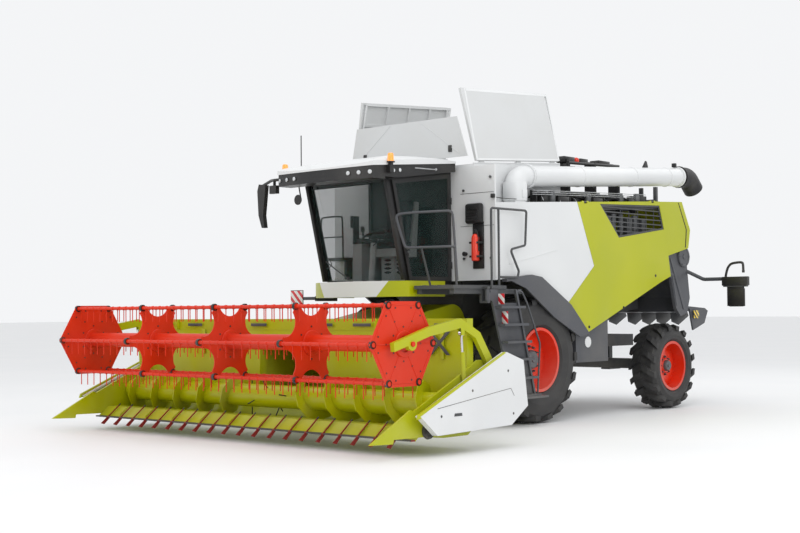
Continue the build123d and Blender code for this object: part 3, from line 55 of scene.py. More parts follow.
# Studio: a pale seamless floor, a pale dome and four large soft boxes, one over the machine, one behind
# it and one on each side of the camera.
class Wire:
    """A socket in a material. Arithmetic on it adds Math nodes."""

    def __init__(self, tree, socket):
        self.tree = tree
        self.socket = socket

    def node(self, kind, settings, sockets, output=0):
        """Add a node: its settings first, then values or wires for its sockets."""
        made = self.tree.nodes.new(kind)
        for name, value in settings.items():
            setattr(made, name, value)
        for name, value in sockets.items():
            if isinstance(value, Wire):
                self.tree.links.new(value.socket, made.inputs[name])
            else:
                made.inputs[name].default_value = value
        return Wire(self.tree, made.outputs[output])

    def math(self, operation, first, second=0.0, limit=False):
        return self.node("ShaderNodeMath", {"operation": operation, "use_clamp": limit},
                         {0: first, 1: second})

    def __add__(self, other):
        return self.math("ADD", self, other)

    __radd__ = __add__

    def __mul__(self, other):
        return self.math("MULTIPLY", self, other)

    __rmul__ = __mul__

    def __sub__(self, other):
        return self.math("SUBTRACT", self, other)

    def __rsub__(self, other):
        return self.math("SUBTRACT", other, self)

    def __gt__(self, other):
        return self.math("GREATER_THAN", self, other)

    def __lt__(self, other):
        return self.math("LESS_THAN", self, other)

    def ramp(self, low, high):
        """0 below low, 1 above high, straight between them."""
        return self.math("MULTIPLY", self - low, 1 / (high - low), limit=True)

    def mix(self, first, second):
        """A colour that goes from first to second as this wire goes from 0 to 1."""
        pair = [c if isinstance(c, Wire) else (*c, 1) for c in (first, second)]
        return self.node("ShaderNodeMix", {"data_type": "RGBA"}, {0: self, 6: pair[0], 7: pair[1]}, 2)

    def sine(self):
        return self.math("SINE", self)

    def size(self):
        return self.math("ABSOLUTE", self)

    def reach(self, other):
        """The distance from an axis, with this wire and the other as the two ways across it."""
        square = self * self + other * other
        return square.math("SQRT", square)

    def axis(self, index):
        """One coordinate of this wire's places."""
        return self.node("ShaderNodeSeparateXYZ", {}, {"Vector": self}, index)

    def noise(self, scale, detail=3.0, stretch=(1, 1, 1)):
        """Noise over this wire's places, from about 0.3 to 0.7."""
        places = self
        if stretch != (1, 1, 1):
            places = self.node("ShaderNodeMapping", {}, {"Vector": self, "Scale": stretch})
        return places.node("ShaderNodeTexNoise", {}, {"Vector": places, "Scale": scale, "Detail": detail})

    def bump(self, strength, distance):
        """The surface's normal with this wire as its height."""
        return self.node("ShaderNodeBump", {}, {"Strength": strength, "Distance": distance, "Height": self})


def start_material(name):
    """A new material, its shader and a wire of places on the object."""
    material = bpy.data.materials.new(name)
    material.use_nodes = True
    tree = material.node_tree
    shader = tree.nodes["Principled BSDF"]
    places = Wire(tree, tree.nodes.new("ShaderNodeTexCoord").outputs["Object"])
    return material, shader, places


def join_shader(shader, wires, values):
    """Link wires to a shader's sockets and set its plain values."""
    for name, wire in wires.items():
        wire.tree.links.new(wire.socket, shader.inputs[name])
    for name, value in values.items():
        shader.inputs[name].default_value = value


floor_paint, shader, places = start_material("studio_floor")
cloud = places.noise(0.35, 2)
join_shader(shader, {
    "Base Color": cloud.ramp(0.3, 0.7).mix((0.82, 0.825, 0.83), (0.85, 0.85, 0.85)),
    "Roughness": cloud * 0.2 + 0.5,
}, {"Specular IOR Level": 0.2})
bpy.ops.mesh.primitive_plane_add(size=400, location=(0, 0, 0))
floor = bpy.context.object
floor.name = "studio_floor"
floor.data.materials.append(floor_paint)

bpy.context.scene.view_settings.view_transform = "Standard"
world = bpy.data.worlds.new("studio")
bpy.context.scene.world = world
world.use_nodes = True
dome = world.node_tree.nodes["Background"]
dome.inputs["Color"].default_value = (0.975, 0.985, 1, 1)
dome.inputs["Strength"].default_value = 0.93
machine_middle = Vector((0, -0.5, 1.8))
# the place, size and power of each soft box
soft_boxes = (
    ((6, -4, 16), 14, 700),
    ((18, -10, 9), 9, 650),
    ((-8, -18, 10), 10, 420),
    ((4, 16, 11), 10, 250),
)
for place, size, power in soft_boxes:
    bpy.ops.object.light_add(type="AREA", location=place)
    lamp = bpy.context.object
    lamp.data.shape = "DISK"
    lamp.data.size = size
    lamp.data.energy = power
    lamp.rotation_euler = (machine_middle - Vector(place)).to_track_quat("-Z", "Y").to_euler()


# Side panels, hood and frame: painted sheet steel with a smooth gloss coat, a faint orange-peel
# skin and a little dust that has settled low down, and satin grey or black paint on frame parts.
road_dust = (0.42, 0.39, 0.33)


def enamel(name, colour, deep, rough=0.34, coat=0.18, dust=0.12, peel=0.25):
    """Paint with patches of a deeper colour, dust low down and an orange-peel skin."""
    material, shader, places = start_material(name)
    patches = places.noise(1.3, 4)
    specks = places.noise(55, 3)
    low = 1 - places.axis(2).ramp(0.2, 1.9)
    dusty = (patches.ramp(0.42, 0.68) * (low * 0.9 + 0.25) + specks.ramp(0.62, 0.7) * 0.4) * dust
    base = places.noise(0.7, 2).ramp(0.35, 0.65).mix(colour, deep)
    skin = places.noise(260, 2)
    join_shader(shader, {
        "Base Color": dusty.mix(base, road_dust),
        "Roughness": patches * 0.1 + dusty * 0.5 + (rough - 0.05),
        "Normal": (skin + specks * 0.5).bump(peel, 0.0006),
    }, {"Coat Weight": coat, "Coat Roughness": 0.12, "Specular IOR Level": 0.28})
    return material


def finish_node(material, *names):
    """Give CAD nodes a material."""
    for name in names:
        slots = nodes[name].data.materials
        slots.clear()
        slots.append(material)


across = {"x": lambda a, b, c: (c, a, b), "y": lambda a, b, c: (a, c, b), "z": lambda a, b, c: (a, b, c)}
mirrored = Matrix.Scale(-1, 4, (1, 0, 0))
up = (0, 0, 1)
forward = (0, -1, 0)
backward = (0, 1, 0)


def ring(places, fill):
    """A ring of vertices at the given places, filled or open."""
    bpy.ops.object.select_all(action="DESELECT")
    bpy.ops.mesh.primitive_circle_add(vertices=len(places), fill_type=fill)
    made = bpy.context.object
    for vertex, place in zip(made.data.vertices, places):
        vertex.co = place
    return made


def plate(corners, way, edge=0.0):
    """A plate from its corners, as thick as its way is long, with its edges broken."""
    made = ring(corners, "NGON")
    bpy.ops.object.mode_set(mode="EDIT")
    bpy.ops.mesh.select_all(action="SELECT")
    bpy.ops.mesh.extrude_region_move(TRANSFORM_OT_translate={"value": way})
    bpy.ops.mesh.select_all(action="SELECT")
    bpy.ops.mesh.normals_make_consistent(inside=False)
    bpy.ops.object.mode_set(mode="OBJECT")
    if edge:
        bevel = made.modifiers.new("edges", "BEVEL")
        bevel.width = edge
        bevel.segments = 2
        bpy.ops.object.modifier_apply(modifier="edges")
    return made


def slab(axis, outline, low, high, edge=0.004):
    """A plate cut to an outline, from low to high along an axis."""
    turn_to = across[axis]
    return plate([turn_to(a, b, low) for a, b in outline], turn_to(0, 0, high - low), edge)


def bar(x, y, z, edge=0.004):
    """A block between pairs of limits, with its edges broken."""
    return slab("z", ((x[0], y[0]), (x[1], y[0]), (x[1], y[1]), (x[0], y[1])), z[0], z[1], edge)


def turned(profile, centre, direction=(1, 0, 0), steps=24):
    """A body turned about a line through its centre, from a closed profile of (along, radius)."""
    direction = Vector(direction).normalized()
    side = direction.orthogonal().normalized()
    made = ring([Vector(centre) + direction * along + side * radius for along, radius in profile],
                "NOTHING")
    bpy.ops.object.mode_set(mode="EDIT")
    bpy.ops.mesh.select_all(action="SELECT")
    bpy.ops.mesh.spin(steps=steps, angle=2 * pi, center=centre, axis=direction)
    bpy.ops.mesh.select_all(action="SELECT")
    bpy.ops.mesh.remove_doubles(threshold=0.00002)
    bpy.ops.mesh.delete_loose()
    bpy.ops.mesh.select_all(action="SELECT")
    bpy.ops.mesh.normals_make_consistent(inside=False)
    bpy.ops.object.mode_set(mode="OBJECT")
    return made


def pin(low, high, radius, centre, direction=(1, 0, 0), steps=24):
    """A plain round pin, bolt head or drum, from low to high along a line through its centre."""
    return turned(((low, 0), (low, radius), (high, radius), (high, 0)), centre, direction, steps)


def hose(places, radius, sides=2):
    """A round tube or bent bar along places, with every bend smooth and its ends capped."""
    bpy.ops.object.select_all(action="DESELECT")
    bpy.ops.curve.primitive_nurbs_path_add()
    line = bpy.context.object
    line.data.splines.clear()
    spline = line.data.splines.new("NURBS")
    spline.points.add(len(places) - 1)
    for point, place in zip(spline.points, places):
        point.co = (*place, 1)
    spline.order_u = min(3, len(places))
    spline.use_endpoint_u = True
    line.data.bevel_depth = radius
    line.data.bevel_resolution = sides
    line.data.resolution_u = 5
    line.data.use_fill_caps = True
    bpy.ops.object.convert(target="MESH")
    return bpy.context.object


def copy_of(part, matrix):
    """A copy with its own mesh, moved by a matrix, and right side out where that mirrors it."""
    made = part.copy()
    made.data = part.data.copy()
    bpy.context.collection.objects.link(made)
    made.data.transform(matrix)
    if matrix.determinant() < 0:
        made.data.flip_normals()
    return made


def other_side(parts):
    """Mirror images of the parts, for the machine's right side."""
    return [copy_of(part, mirrored) for part in parts]


def both(parts):
    """The parts and their mirror images."""
    return parts + other_side(parts)


def finish_piece(name, material, parts, body):
    """Join parts into one piece with a name and a finish, which moves with a body."""
    bpy.ops.object.select_all(action="DESELECT")
    for part in parts:
        part.select_set(True)
    bpy.context.view_layer.objects.active = parts[0]
    if len(parts) > 1:
        bpy.ops.object.join()
    piece = bpy.context.object
    bpy.ops.object.shade_smooth_by_angle(angle=radians(35))
    piece.name = name
    piece.data.name = name
    piece.data.materials.clear()
    piece.data.materials.append(material)
    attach(piece, body)
    return piece


def finish_sides(name, material, parts, body):
    """Finish the parts as a piece of the left body, and their mirror images as one of the right body."""
    for side, side_parts in (("right", other_side(parts)), ("left", parts)):
        finish_piece(f"{name}_{side}", material, side_parts, f"{body}_{side}")


lime_paint = enamel("lime_paint", (0.44, 0.46, 0.002), (0.39, 0.42, 0.001))
white_paint = enamel("white_paint", (0.71, 0.72, 0.72), (0.67, 0.68, 0.685), dust=0.06)
dark_paint = enamel("dark_grey_paint", (0.062, 0.065, 0.069), (0.05, 0.052, 0.056),
                    rough=0.45, coat=0.1, dust=0.3, peel=0.4)
mid_paint = enamel("mid_grey_paint", (0.08, 0.083, 0.093), (0.066, 0.069, 0.077),
                   rough=0.45, coat=0.1, dust=0.2, peel=0.5)
black_paint = enamel("black_paint", (0.012, 0.012, 0.013), (0.02, 0.02, 0.02),
                     rough=0.4, coat=0.15, dust=0.2, peel=0.3)
finish_node(lime_paint, "side_panel_green_left", "side_panel_green_right", "rear_hood", "header_frame",
            "feeder_house", "reel_arms", "bumper_corners")
finish_node(white_paint, "side_panels_white", "grain_tank", "unloading_pipe", "cab_roof", "cab_bumper",
            "header_shields")
finish_node(dark_paint, "chassis_frame", "body_frame", "lift_brackets", "front_axle", "rear_axle",
            "platform", "grille_left", "grille_right")
finish_node(mid_paint, "mudguards", "ladder", "side_boxes", "chopper_housing")
finish_node(black_paint, "engine", "lift_barrels", "roof_fittings", "cab_frame", "cab_door")


# Panel creases and catches: a long crease pressed in each white panel, and black quarter-turn catches
# that hold the panels shut.
crease_outline = ((-0.75, 2.36), (0.46, 2.6), (0.46, 2.606), (-0.75, 2.38))
panel_crease = slab("x", crease_outline, 1.606, 1.616, 0.002)
finish_piece("panel_creases", white_paint, both([panel_crease]), "chassis")
catch = ((0, 0), (0.012, 0), (0.012, 0.014), (0.008, 0.022), (0, 0.024))
panel_face = 1.608
catches = [turned(catch, (panel_face, y, z)) for y, z in ((2.3, 1.72), (3.3, 2.25), (1.3, 1.42))]
finish_sides("panel_catches", black_paint, catches, "panel")


# Front tyres and rear tyres: black rubber with chevron lugs. Fine rings run round the sidewalls, and
# pale dust lies between the lugs. They sit on deep-dish pressed steel rims, painted red.
def tyre_rubber(name, centre_y, radius):
    material, shader, places = start_material(name)
    reach = (places.axis(1) - centre_y).reach(places.axis(2) - radius)
    cloud = places.noise(4, 4)
    grit = places.noise(90, 2)
    between_lugs = 1 - reach.ramp(radius * 0.9, radius)
    sidewall = 1 - reach.ramp(radius * 0.84, radius * 0.86)
    dusty = cloud.ramp(0.4, 0.7) * 0.5 + between_lugs * 0.22 + grit.ramp(0.5, 0.75) * 0.2
    part_dusty = dusty.math("MULTIPLY", dusty, 0.55, limit=True)
    join_shader(shader, {
        "Base Color": part_dusty.mix((0.019, 0.019, 0.02), (0.1, 0.096, 0.09)),
        "Roughness": dusty * 0.3 + 0.5,
        "Normal": ((reach * 420).sine() * sidewall * 0.5 + grit * 0.8).bump(0.5, 0.0012),
    }, {"Specular IOR Level": 0.4})
    return material


finish_node(tyre_rubber("front_tyre_rubber", 0, 0.95), "front_tyre_left", "front_tyre_right")
finish_node(tyre_rubber("rear_tyre_rubber", 3.82, 0.722), "rear_tyre_left", "rear_tyre_right")
wheel_red = enamel("wheel_red_paint", (0.8, 0.035, 0.008), (0.66, 0.028, 0.006), 0.3, 0.4, 0.2)
finish_node(wheel_red, "front_wheel_left", "front_wheel_right", "rear_wheel_left", "rear_wheel_right")


# Hubs: the end cap of each wheel's drive, a grey casting. It sits in the middle of the wheel's dish,
# inside the ring of nuts and studs that holds the wheel.
def cast_metal(name, colour, rough):
    material, shader, places = start_material(name)
    cloud = places.noise(9, 4)
    grain = places.noise(320, 3)
    join_shader(shader, {
        "Base Color": cloud.ramp(0.35, 0.7).mix(colour, tuple(c * 0.7 for c in colour)),
        "Roughness": grain * 0.25 + (rough - 0.12),
        "Normal": (grain + cloud * 0.4).bump(0.45, 0.0008),
    }, {"Metallic": 0.55})
    return material


cast_grey = cast_metal("cast_grey", (0.16, 0.165, 0.17), 0.5)
steel_bright = cast_metal("bright_steel", (0.55, 0.56, 0.57), 0.32)
cap_depth = 0.075
nut = ((-0.03, 0), (-0.03, 0.021), (0.006, 0.021), (0.006, 0.014), (0.022, 0.014), (0.022, 0.008),
       (0.034, 0.008), (0.034, 0))
# end of the machine, wheel's middle (y, z), face of the dish, cap radius, bolt circle, nuts
wheels = (
    ("front", (0, 0.95), 1.405, 0.15, 0.2, 12),
    ("rear", (3.82, 0.722), 1.455, 0.1, 0.15, 8),
)
for end, (middle_y, middle_z), face, cap, circle, count in wheels:
    profile = ((-0.02, 0), (-0.02, cap), (cap_depth * 0.7, cap * 0.94), (cap_depth, cap * 0.8),
               (cap_depth, cap * 0.3), (cap_depth + 0.012, cap * 0.26), (cap_depth + 0.012, 0))
    parts = [turned(profile, (face, middle_y, middle_z), steps=32)]
    for i in range(count):
        angle = 2 * pi * i / count
        place = (face, middle_y + circle * cos(angle), middle_z + circle * sin(angle))
        parts.append(turned(nut, place, steps=6))
    finish_sides(f"{end}_hub", cast_grey, parts, f"{end}_wheel")


# Grain tank: white sheet walls with a rolled rim. The covers are light grey plastic on white steel
# frames that stand open, with ribs on their inner faces, and the flap has two pressed diagonals.
cover_grey, shader, places = start_material("cover_plastic")
cloud = places.noise(1.6, 4)
grain = places.noise(420, 2)
scuffs = places.noise(14, 4, (1, 1, 4)).ramp(0.62, 0.74)
worn = cloud.ramp(0.4, 0.7) * 0.1 + scuffs * 0.06
join_shader(shader, {
    "Base Color": worn.mix((0.58, 0.59, 0.59), (0.45, 0.43, 0.39)),
    "Roughness": cloud * 0.12 + scuffs * 0.15 + 0.39,
    "Normal": (grain + scuffs * 0.3).bump(0.35, 0.0005),
}, {"Specular IOR Level": 0.45})
finish_node(cover_grey, "tank_cover_left", "tank_cover_right", "tank_flap")
cover_frame = enamel("cover_frame_paint", (0.74, 0.75, 0.75), (0.7, 0.71, 0.71), dust=0.04)
cover_lean = radians(12)
tank_slope = 0.0714


def on_cover(run, height, out):
    """A place on the left cover: along its hinge, up its face and out from it."""
    face_up = Vector((-sin(cover_lean), 0, cos(cover_lean)))
    face_out = Vector((cos(cover_lean), 0, sin(cover_lean)))
    return Vector((1.205, -1.01 + run, 3.863 + run * tank_slope)) + face_up * height + face_out * out


def cover_strip(run, height, out):
    """A strip on the left cover between pairs of limits."""
    corners = [on_cover(r, height[0], out[0]) for r in run]
    corners += [on_cover(r, height[1], out[0]) for r in reversed(run)]
    return plate(corners, on_cover(0, 0, out[1]) - on_cover(0, 0, out[0]))


frame_depth = (-0.002, 0.042)
strips = [cover_strip(run, height, frame_depth) for run, height in (
    ((0.0, 0.035), (0.02, 1.13)),
    ((2.055, 2.09), (0.02, 1.13)),
    ((0.03, 2.06), (1.09, 1.132)),
    ((0.03, 2.06), (0.02, 0.05)),
)]
ribs = [cover_strip((run, run + 0.04), (0.05, 1.09), (-0.001, 0.03)) for run in (0.52, 1.03, 1.54)]
ribs += [cover_strip((0.035, 2.05), (height, height + 0.035), (0.004, 0.03)) for height in (0.4, 0.76)]
finish_sides("cover_frame", cover_frame, strips, "cover")
finish_sides("cover_ribs", cover_grey, ribs, "cover")


def on_flap(x, height):
    """A place just in front of the flap's face."""
    return (x, -1.125 - 0.021 - height * tank_slope, 3.925 + height - 0.0015)


creases = [hose([on_flap(side * 1.02, 0.08), on_flap(side * 0.3, 0.6)], 0.005) for side in (-1, 1)]
finish_piece("flap_creases", cover_grey, creases, "flap")
latches = [bar((x - 0.03, x + 0.03), (-1.175, -1.145), (4.03, 4.13), 0.006) for x in (-0.86, 0.86)]
finish_piece("flap_latches", black_paint, latches, "flap")
rim = [hose([(x, -1.06, 3.845), (x, 1.11, 4.0)], 0.012) for x in (-1.215, 1.215)]
seams = [slab("x", ((y, 3.3), (y + 0.012, 3.3), (y + 0.012, 3.86), (y, 3.85)), 1.219, 1.224, 0.001)
         for y in (-0.62, 0.62)]
finish_piece("tank_rim", white_paint, rim + both(seams), "chassis")


# Unloading pipe: white rolled steel tube with a bolted flange at the elbow, clamp bands along it and
# a steel ring that holds the black rubber spout. It turns in a collar on the tank's corner.
hose_rubber, shader, places = start_material("hose_rubber")
cloud = places.noise(5, 4)
grit = places.noise(150, 2)
dusty = cloud.ramp(0.4, 0.75) * 0.35 + grit.ramp(0.6, 0.8) * 0.15
join_shader(shader, {
    "Base Color": dusty.mix((0.015, 0.015, 0.016), (0.11, 0.105, 0.1)),
    "Roughness": cloud * 0.2 + 0.45,
    "Normal": (grit + cloud * 0.5).bump(0.4, 0.0008),
}, {"Specular IOR Level": 0.35})
finish_node(hose_rubber, "pipe_spout")
pipe_x = 1.395
pipe_slope = 0.0665
pipe_line = Vector((0, 1, pipe_slope)).normalized()


def pipe_at(y):
    """The unloading pipe's middle at a distance along the machine."""
    return Vector((pipe_x, y, 3.69 + (y + 0.3) * pipe_slope))


def pipe_band(y, reach, half):
    """A rolled band round the pipe, half its width to each side of y."""
    profile = ((-half, 0.155), (-half, reach - 0.004), (-half + 0.004, reach), (half - 0.004, reach),
               (half, reach - 0.004), (half, 0.155))
    return turned(profile, pipe_at(y), pipe_line, 40)


bands = [pipe_band(y, 0.168, 0.014) for y in (1.35, 2.9, 4.0)]
bands += [pipe_band(-0.02, 0.186, 0.012), pipe_band(0.012, 0.186, 0.01), pipe_band(4.41, 0.18, 0.02)]
flange_bolts = 12
for i in range(flange_bolts):
    angle = 2 * pi * i / flange_bolts
    out = Vector((cos(angle), 0, sin(angle))) * 0.176
    bands.append(pin(-0.03, 0.04, 0.009, pipe_at(-0.005) + out, pipe_line, 6))
finish_piece("pipe_bands", white_paint, bands, "pipe")
collar_profile = ((0, 0.16), (0, 0.176), (0.03, 0.182), (0.26, 0.182), (0.28, 0.176), (0.28, 0.16))
collar = [turned(collar_profile, (pipe_x, -0.3, 3.32), up, 40),
          bar((1.53, 1.58), (-0.36, -0.24), (3.36, 3.48))]
finish_piece("turret_collar", white_paint, collar, "pipe")
spout_profile = ((0, 0.165), (0, 0.186), (0.012, 0.192), (0.03, 0.192), (0.04, 0.186), (0.04, 0.165))
spout_parts = [turned(spout_profile, pipe_at(4.46), pipe_line, 40),
               bar((1.36, 1.43), (4.3, 4.36), (4.17, 4.24), 0.006),
               slab("x", ((3.28, 4.09), (3.46, 4.1), (3.42, 4.2), (3.38, 4.21)), 1.387, 1.403, 0.002)]
finish_piece("spout_ring", hose_rubber, spout_parts, "pipe")


# Pipe cradle: a saddle welded from dark grey steel bar, on the side of the deck. The unloading pipe rests
# in it when it lies along the machine.
finish_node(dark_paint, "threshing_body")
cradle = [bar(x, y, z) for x, y, z in (
    ((1.2, 1.56), (3.44, 3.5), (3.47, 3.55)),
    ((1.22, 1.28), (3.44, 3.5), (3.55, 3.76)),
    ((1.5, 1.56), (3.44, 3.5), (3.55, 3.76)),
    ((1.34, 1.44), (3.42, 3.52), (3.38, 3.5)),
)]
finish_piece("pipe_cradle", dark_paint, cradle, "chassis")


# Engine deck: the open machinery between the tank and the hood. Black hydraulic blocks, grey filter
# canisters, steel lines and a bundle of black hoses are bolted to the deck, behind its guard rail.
# middle (x, y, z) and size of each block
blocks = (
    ((1.33, 0.42, 3.42), (0.2, 0.22, 0.16)), ((1.4, 0.86, 3.4), (0.14, 0.3, 0.1)),
    ((1.3, 1.34, 3.44), (0.16, 0.18, 0.2)), ((1.38, 1.8, 3.42), (0.2, 0.26, 0.12)),
    ((1.28, 2.35, 3.46), (0.14, 0.3, 0.18)), ((1.4, 2.8, 3.46), (0.16, 0.18, 0.12)),
    ((1.36, 3.14, 3.52), (0.26, 0.22, 0.14)), ((0.98, 1.62, 4.12), (0.16, 0.3, 0.1)),
    ((0.96, 2.1, 4.13), (0.12, 0.22, 0.09)), ((0.98, 2.62, 4.14), (0.18, 0.34, 0.07)),
)
deck = [bar(*[(m - d / 2, m + d / 2) for m, d in zip(middle, size)], 0.008) for middle, size in blocks]
deck += [hose([(0.98, 1.5, 4.1), (0.98, 3.02, 4.14)], 0.018),
         hose([(0.9, 1.5, 4.02), (0.9, 3.02, 4.08)], 0.014)]
deck += [bar((0.9, 1.12), (y, y + 0.03), (3.42, 4.13)) for y in (1.52, 2.27, 2.98)]
deck += [bar((1.3, 1.42), (y, y + 0.025), (3.3, 3.52)) for y in (0.2, 0.64, 1.1, 1.58, 2.06, 2.58, 3.0)]
finish_piece("deck_blocks", black_paint, deck, "chassis")
canister = ((0, 0), (0, 0.05), (0.012, 0.058), (0.16, 0.058), (0.17, 0.045), (0.2, 0.045), (0.205, 0))
canisters = [turned(canister, place, up, 20) for place in (
    (1.42, 0.6, 3.33), (1.3, 1.08, 3.34), (1.42, 1.58, 3.36), (1.3, 2.04, 3.38), (1.43, 2.52, 3.4),
    (1.44, 3.00, 3.42))]
silencer = ((0, 0), (0, 0.09), (0.01, 0.1), (0.5, 0.1), (0.51, 0.09), (0.51, 0))
canisters += [turned(silencer, (1.08, y, 3.5), (0, 1, 0.04), 24) for y in (1.5, 2.3)]
finish_piece("deck_canisters", cast_grey, canisters, "chassis")
lines = []
for i in range(7):
    lift = 3.4 + 0.022 * (i % 3)
    shift = 0.035 * (i % 4)
    start_y = 0.1 * i
    lines.append(hose([(1.25 + shift, 0.1 + start_y, lift), (1.33 + shift, 0.9 + start_y, lift + 0.1),
                       (1.27 + shift, 1.6 + start_y, lift + 0.02), (1.36 + shift, 2.3, lift + 0.12),
                       (1.3 + shift, 3.0, lift + 0.06), (1.28 + shift, 3.36, lift + 0.05)], 0.011, 1))
finish_piece("deck_hoses", hose_rubber, lines, "chassis")
line_radius = 0.006
steel_lines = [hose([(1.46, 0.05, 3.44 + lift), (1.47, 1.5, 3.5 + lift), (1.44, 3.3, 3.56 + lift)],
                    line_radius, 1) for lift in (0, 0.03, 0.06)]
steel_lines += [hose([(1.48, y, 3.36), (1.4, y + 0.05, 3.5), (1.28, y, 3.46)], line_radius, 1)
                for y in (0.3, 0.75, 1.2, 1.7, 2.2, 2.7, 3.2)]
finish_piece("deck_lines", steel_bright, steel_lines, "chassis")
cap_profile = ((0, 0), (0, 0.045), (0.03, 0.05), (0.06, 0.045), (0.075, 0.02), (0.075, 0))
red_cap = turned(cap_profile, (1.02, 1.86, 4.1), up, 20)
finish_piece("deck_filler_cap", wheel_red, [red_cap], "chassis")


# Side grilles: upright grey steel rods in front of each panel's dark mesh frame. Further in, blocks and
# canisters of cast metal on the engine's sides show through the bars.
guards = [hose([(1.575, y, z - 0.06), (1.575, y, z + 0.34)], 0.008, 1)
          for y, z in ((2.3, 2.98), (2.55, 2.96), (2.82, 2.98), (3.08, 3.0), (3.32, 3.03))]
finish_sides("grille_rods", mid_paint, guards, "panel")
inner = [bar((1.3, 1.42), (y, y + 0.16), (2.9, 3.22), 0.01) for y in (2.1, 2.75, 3.2)]
inner += [pin(0, 0.4, 0.05, (1.36, y, 2.86), up, 16) for y in (2.4, 2.62, 3.05)]
finish_piece("engine_side_parts", cast_grey, both(inner), "chassis")


# Hood seals: a strip of black rubber down each side of the lime rear hood. It is pressed on the hood's
# edge and closes the joint with the side panels.
seal_outline = ((4.17, 3.53), (4.19, 3.53), (4.45, 3.07), (4.41, 2.76), (4.385, 2.76), (4.425, 3.07))
seal = slab("x", seal_outline, 1.553, 1.559, 0.001)
finish_piece("hood_seals", hose_rubber, both([seal]), "chassis")


# Chopper: round grey covers of pressed steel, held by six bolts each, where the hood turns. Below them
# are folded grey stays on the housing's sides, and dark steel vanes hang under the tail.
cover_face = 1.5
cover_middle = (4.4, 2.6)
disc = ((0, 0), (0, 0.175), (0.02, 0.185), (0.035, 0.175), (0.035, 0.14), (0.028, 0.13), (0.028, 0.05),
        (0.04, 0.045), (0.04, 0))
discs = [turned(disc, (cover_face, *cover_middle), steps=36)]
for i in range(6):
    angle = 2 * pi * i / 6
    place = (cover_face, cover_middle[0] + 0.155 * cos(angle), cover_middle[1] + 0.155 * sin(angle))
    discs.append(pin(0.02, 0.044, 0.011, place, steps=6))
stay_outline = ((3.95, 2.56), (4.0, 2.56), (4.44, 1.7), (4.38, 1.68))
short_outline = ((3.86, 2.3), (3.9, 2.32), (4.06, 2.3), (4.2, 1.76), (4.16, 1.74), (4.02, 2.26))
discs += [slab("x", stay_outline, 1.499, 1.512, 0.003), slab("x", short_outline, 1.499, 1.508, 0.003)]
finish_piece("chopper_covers", mid_paint, both(discs), "chassis")
vane_outline = ((4.6, 1.7), (5.2, 1.66), (5.26, 1.56), (4.9, 1.4), (4.66, 1.46))
vanes = [slab("x", vane_outline, x, x + 0.008, 0.002) for x in (0.2, 0.5, 0.8, 1.1)]
finish_piece("deflector_vanes", dark_paint, both(vanes), "chassis")


# Markers: blank white discs screwed to the machine's sides, and small plates with black and yellow
# reflecting film at the corners of the tail. The red and white film is for the boards by the ladder.
def striped(name, first, second, width):
    """Reflecting film with slanting stripes."""
    material, shader, places = start_material(name)
    wave = (places.axis(2) + places.axis(0) + places.axis(1)) * (pi / width)
    stripe = wave.sine() > 0.0
    bead = places.noise(600, 1)
    join_shader(shader, {
        "Base Color": stripe.mix(first, second),
        "Roughness": bead * 0.3 + 0.15,
        "Normal": bead.bump(0.3, 0.0004),
    }, {"Coat Weight": 0.4})
    return material


warning_film = striped("warning_film", (0.78, 0.78, 0.76), (0.62, 0.012, 0.02), 0.07)
edge_film = striped("edge_film", (0.03, 0.03, 0.03), (0.8, 0.55, 0.02), 0.05)
edge_marks = [bar((1.47, 1.474), (4.8, 4.98), (1.52, 1.66), 0.001)]
sign = [turned(((0, 0), (0, 0.085), (0.004, 0.085), (0.006, 0)), (1.56, 1.333, 1.183), steps=32)]
finish_piece("sign_discs", white_paint, both(sign), "chassis")
finish_piece("edge_markers", edge_film, both(edge_marks), "chassis")


# Lamp arms: a black box on each side of the tail with a red and an amber lens, a rubber flap hanging
# under it, and above it a bent tube with a knob at its end.
def lens_finish(name, colour, glow=0.0):
    """A moulded lamp lens with fine prisms inside."""
    material, shader, places = start_material(name)
    prisms = (places.axis(2) * 500).sine() + (places.axis(0) * 500).sine()
    ridge = tuple(min(1, c * 1.4 + 0.05) for c in colour)
    join_shader(shader, {
        "Base Color": prisms.ramp(-2, 2).mix(colour, ridge),
        "Normal": prisms.bump(0.4, 0.0015),
    }, {"Roughness": 0.08, "Coat Weight": 1.0, "Emission Color": (*colour, 1), "Emission Strength": glow})
    return material


clear_lens = lens_finish("clear_lens", (0.45, 0.47, 0.48))
amber_lens = lens_finish("amber_lens", (0.85, 0.27, 0.01), 0.25)
red_lens = lens_finish("red_lens", (0.55, 0.01, 0.01), 0.1)
arm_y = 4.65
flap_outline = ((2.22, 2.03), (2.54, 2.03), (2.54, 1.73), (2.5, 1.72), (2.26, 1.72), (2.22, 1.74))
tube = ((2.18, 2.2), (2.2, 2.34), (2.27, 2.455), (2.38, 2.475), (2.5, 2.48), (2.52, 2.44), (2.52, 2.34))
knob = ((0, 0), (0, 0.022), (0.03, 0.026), (0.06, 0.018), (0.06, 0))
arm_parts = [bar((2.13, 2.61), (4.6, 4.7), (2.08, 2.235), 0.012),
             bar((2.24, 2.52), (4.63, 4.67), (2.02, 2.09)),
             slab("y", flap_outline, 4.636, 4.664, 0.004),
             hose([(x, arm_y, z) for x, z in tube], 0.022),
             turned(knob, (2.52, arm_y, 2.3), up, 12)]
finish_piece("lamp_arm_boxes", black_paint, both(arm_parts), "chassis")
lens_y = 4.7
lens_z = 2.155
tail_lens = ((0, 0), (0, 0.05), (0.012, 0.05), (0.018, 0.04), (0.018, 0))
turn_lens = ((0, 0), (0, 0.045), (0.012, 0.045), (0.018, 0.035), (0.018, 0))
tail_lamps = [turned(tail_lens, (x, lens_y, lens_z), backward, 20) for x in (2.24, 2.5)]
turn_lamps = [turned(turn_lens, (2.37, lens_y, lens_z), backward, 20)]
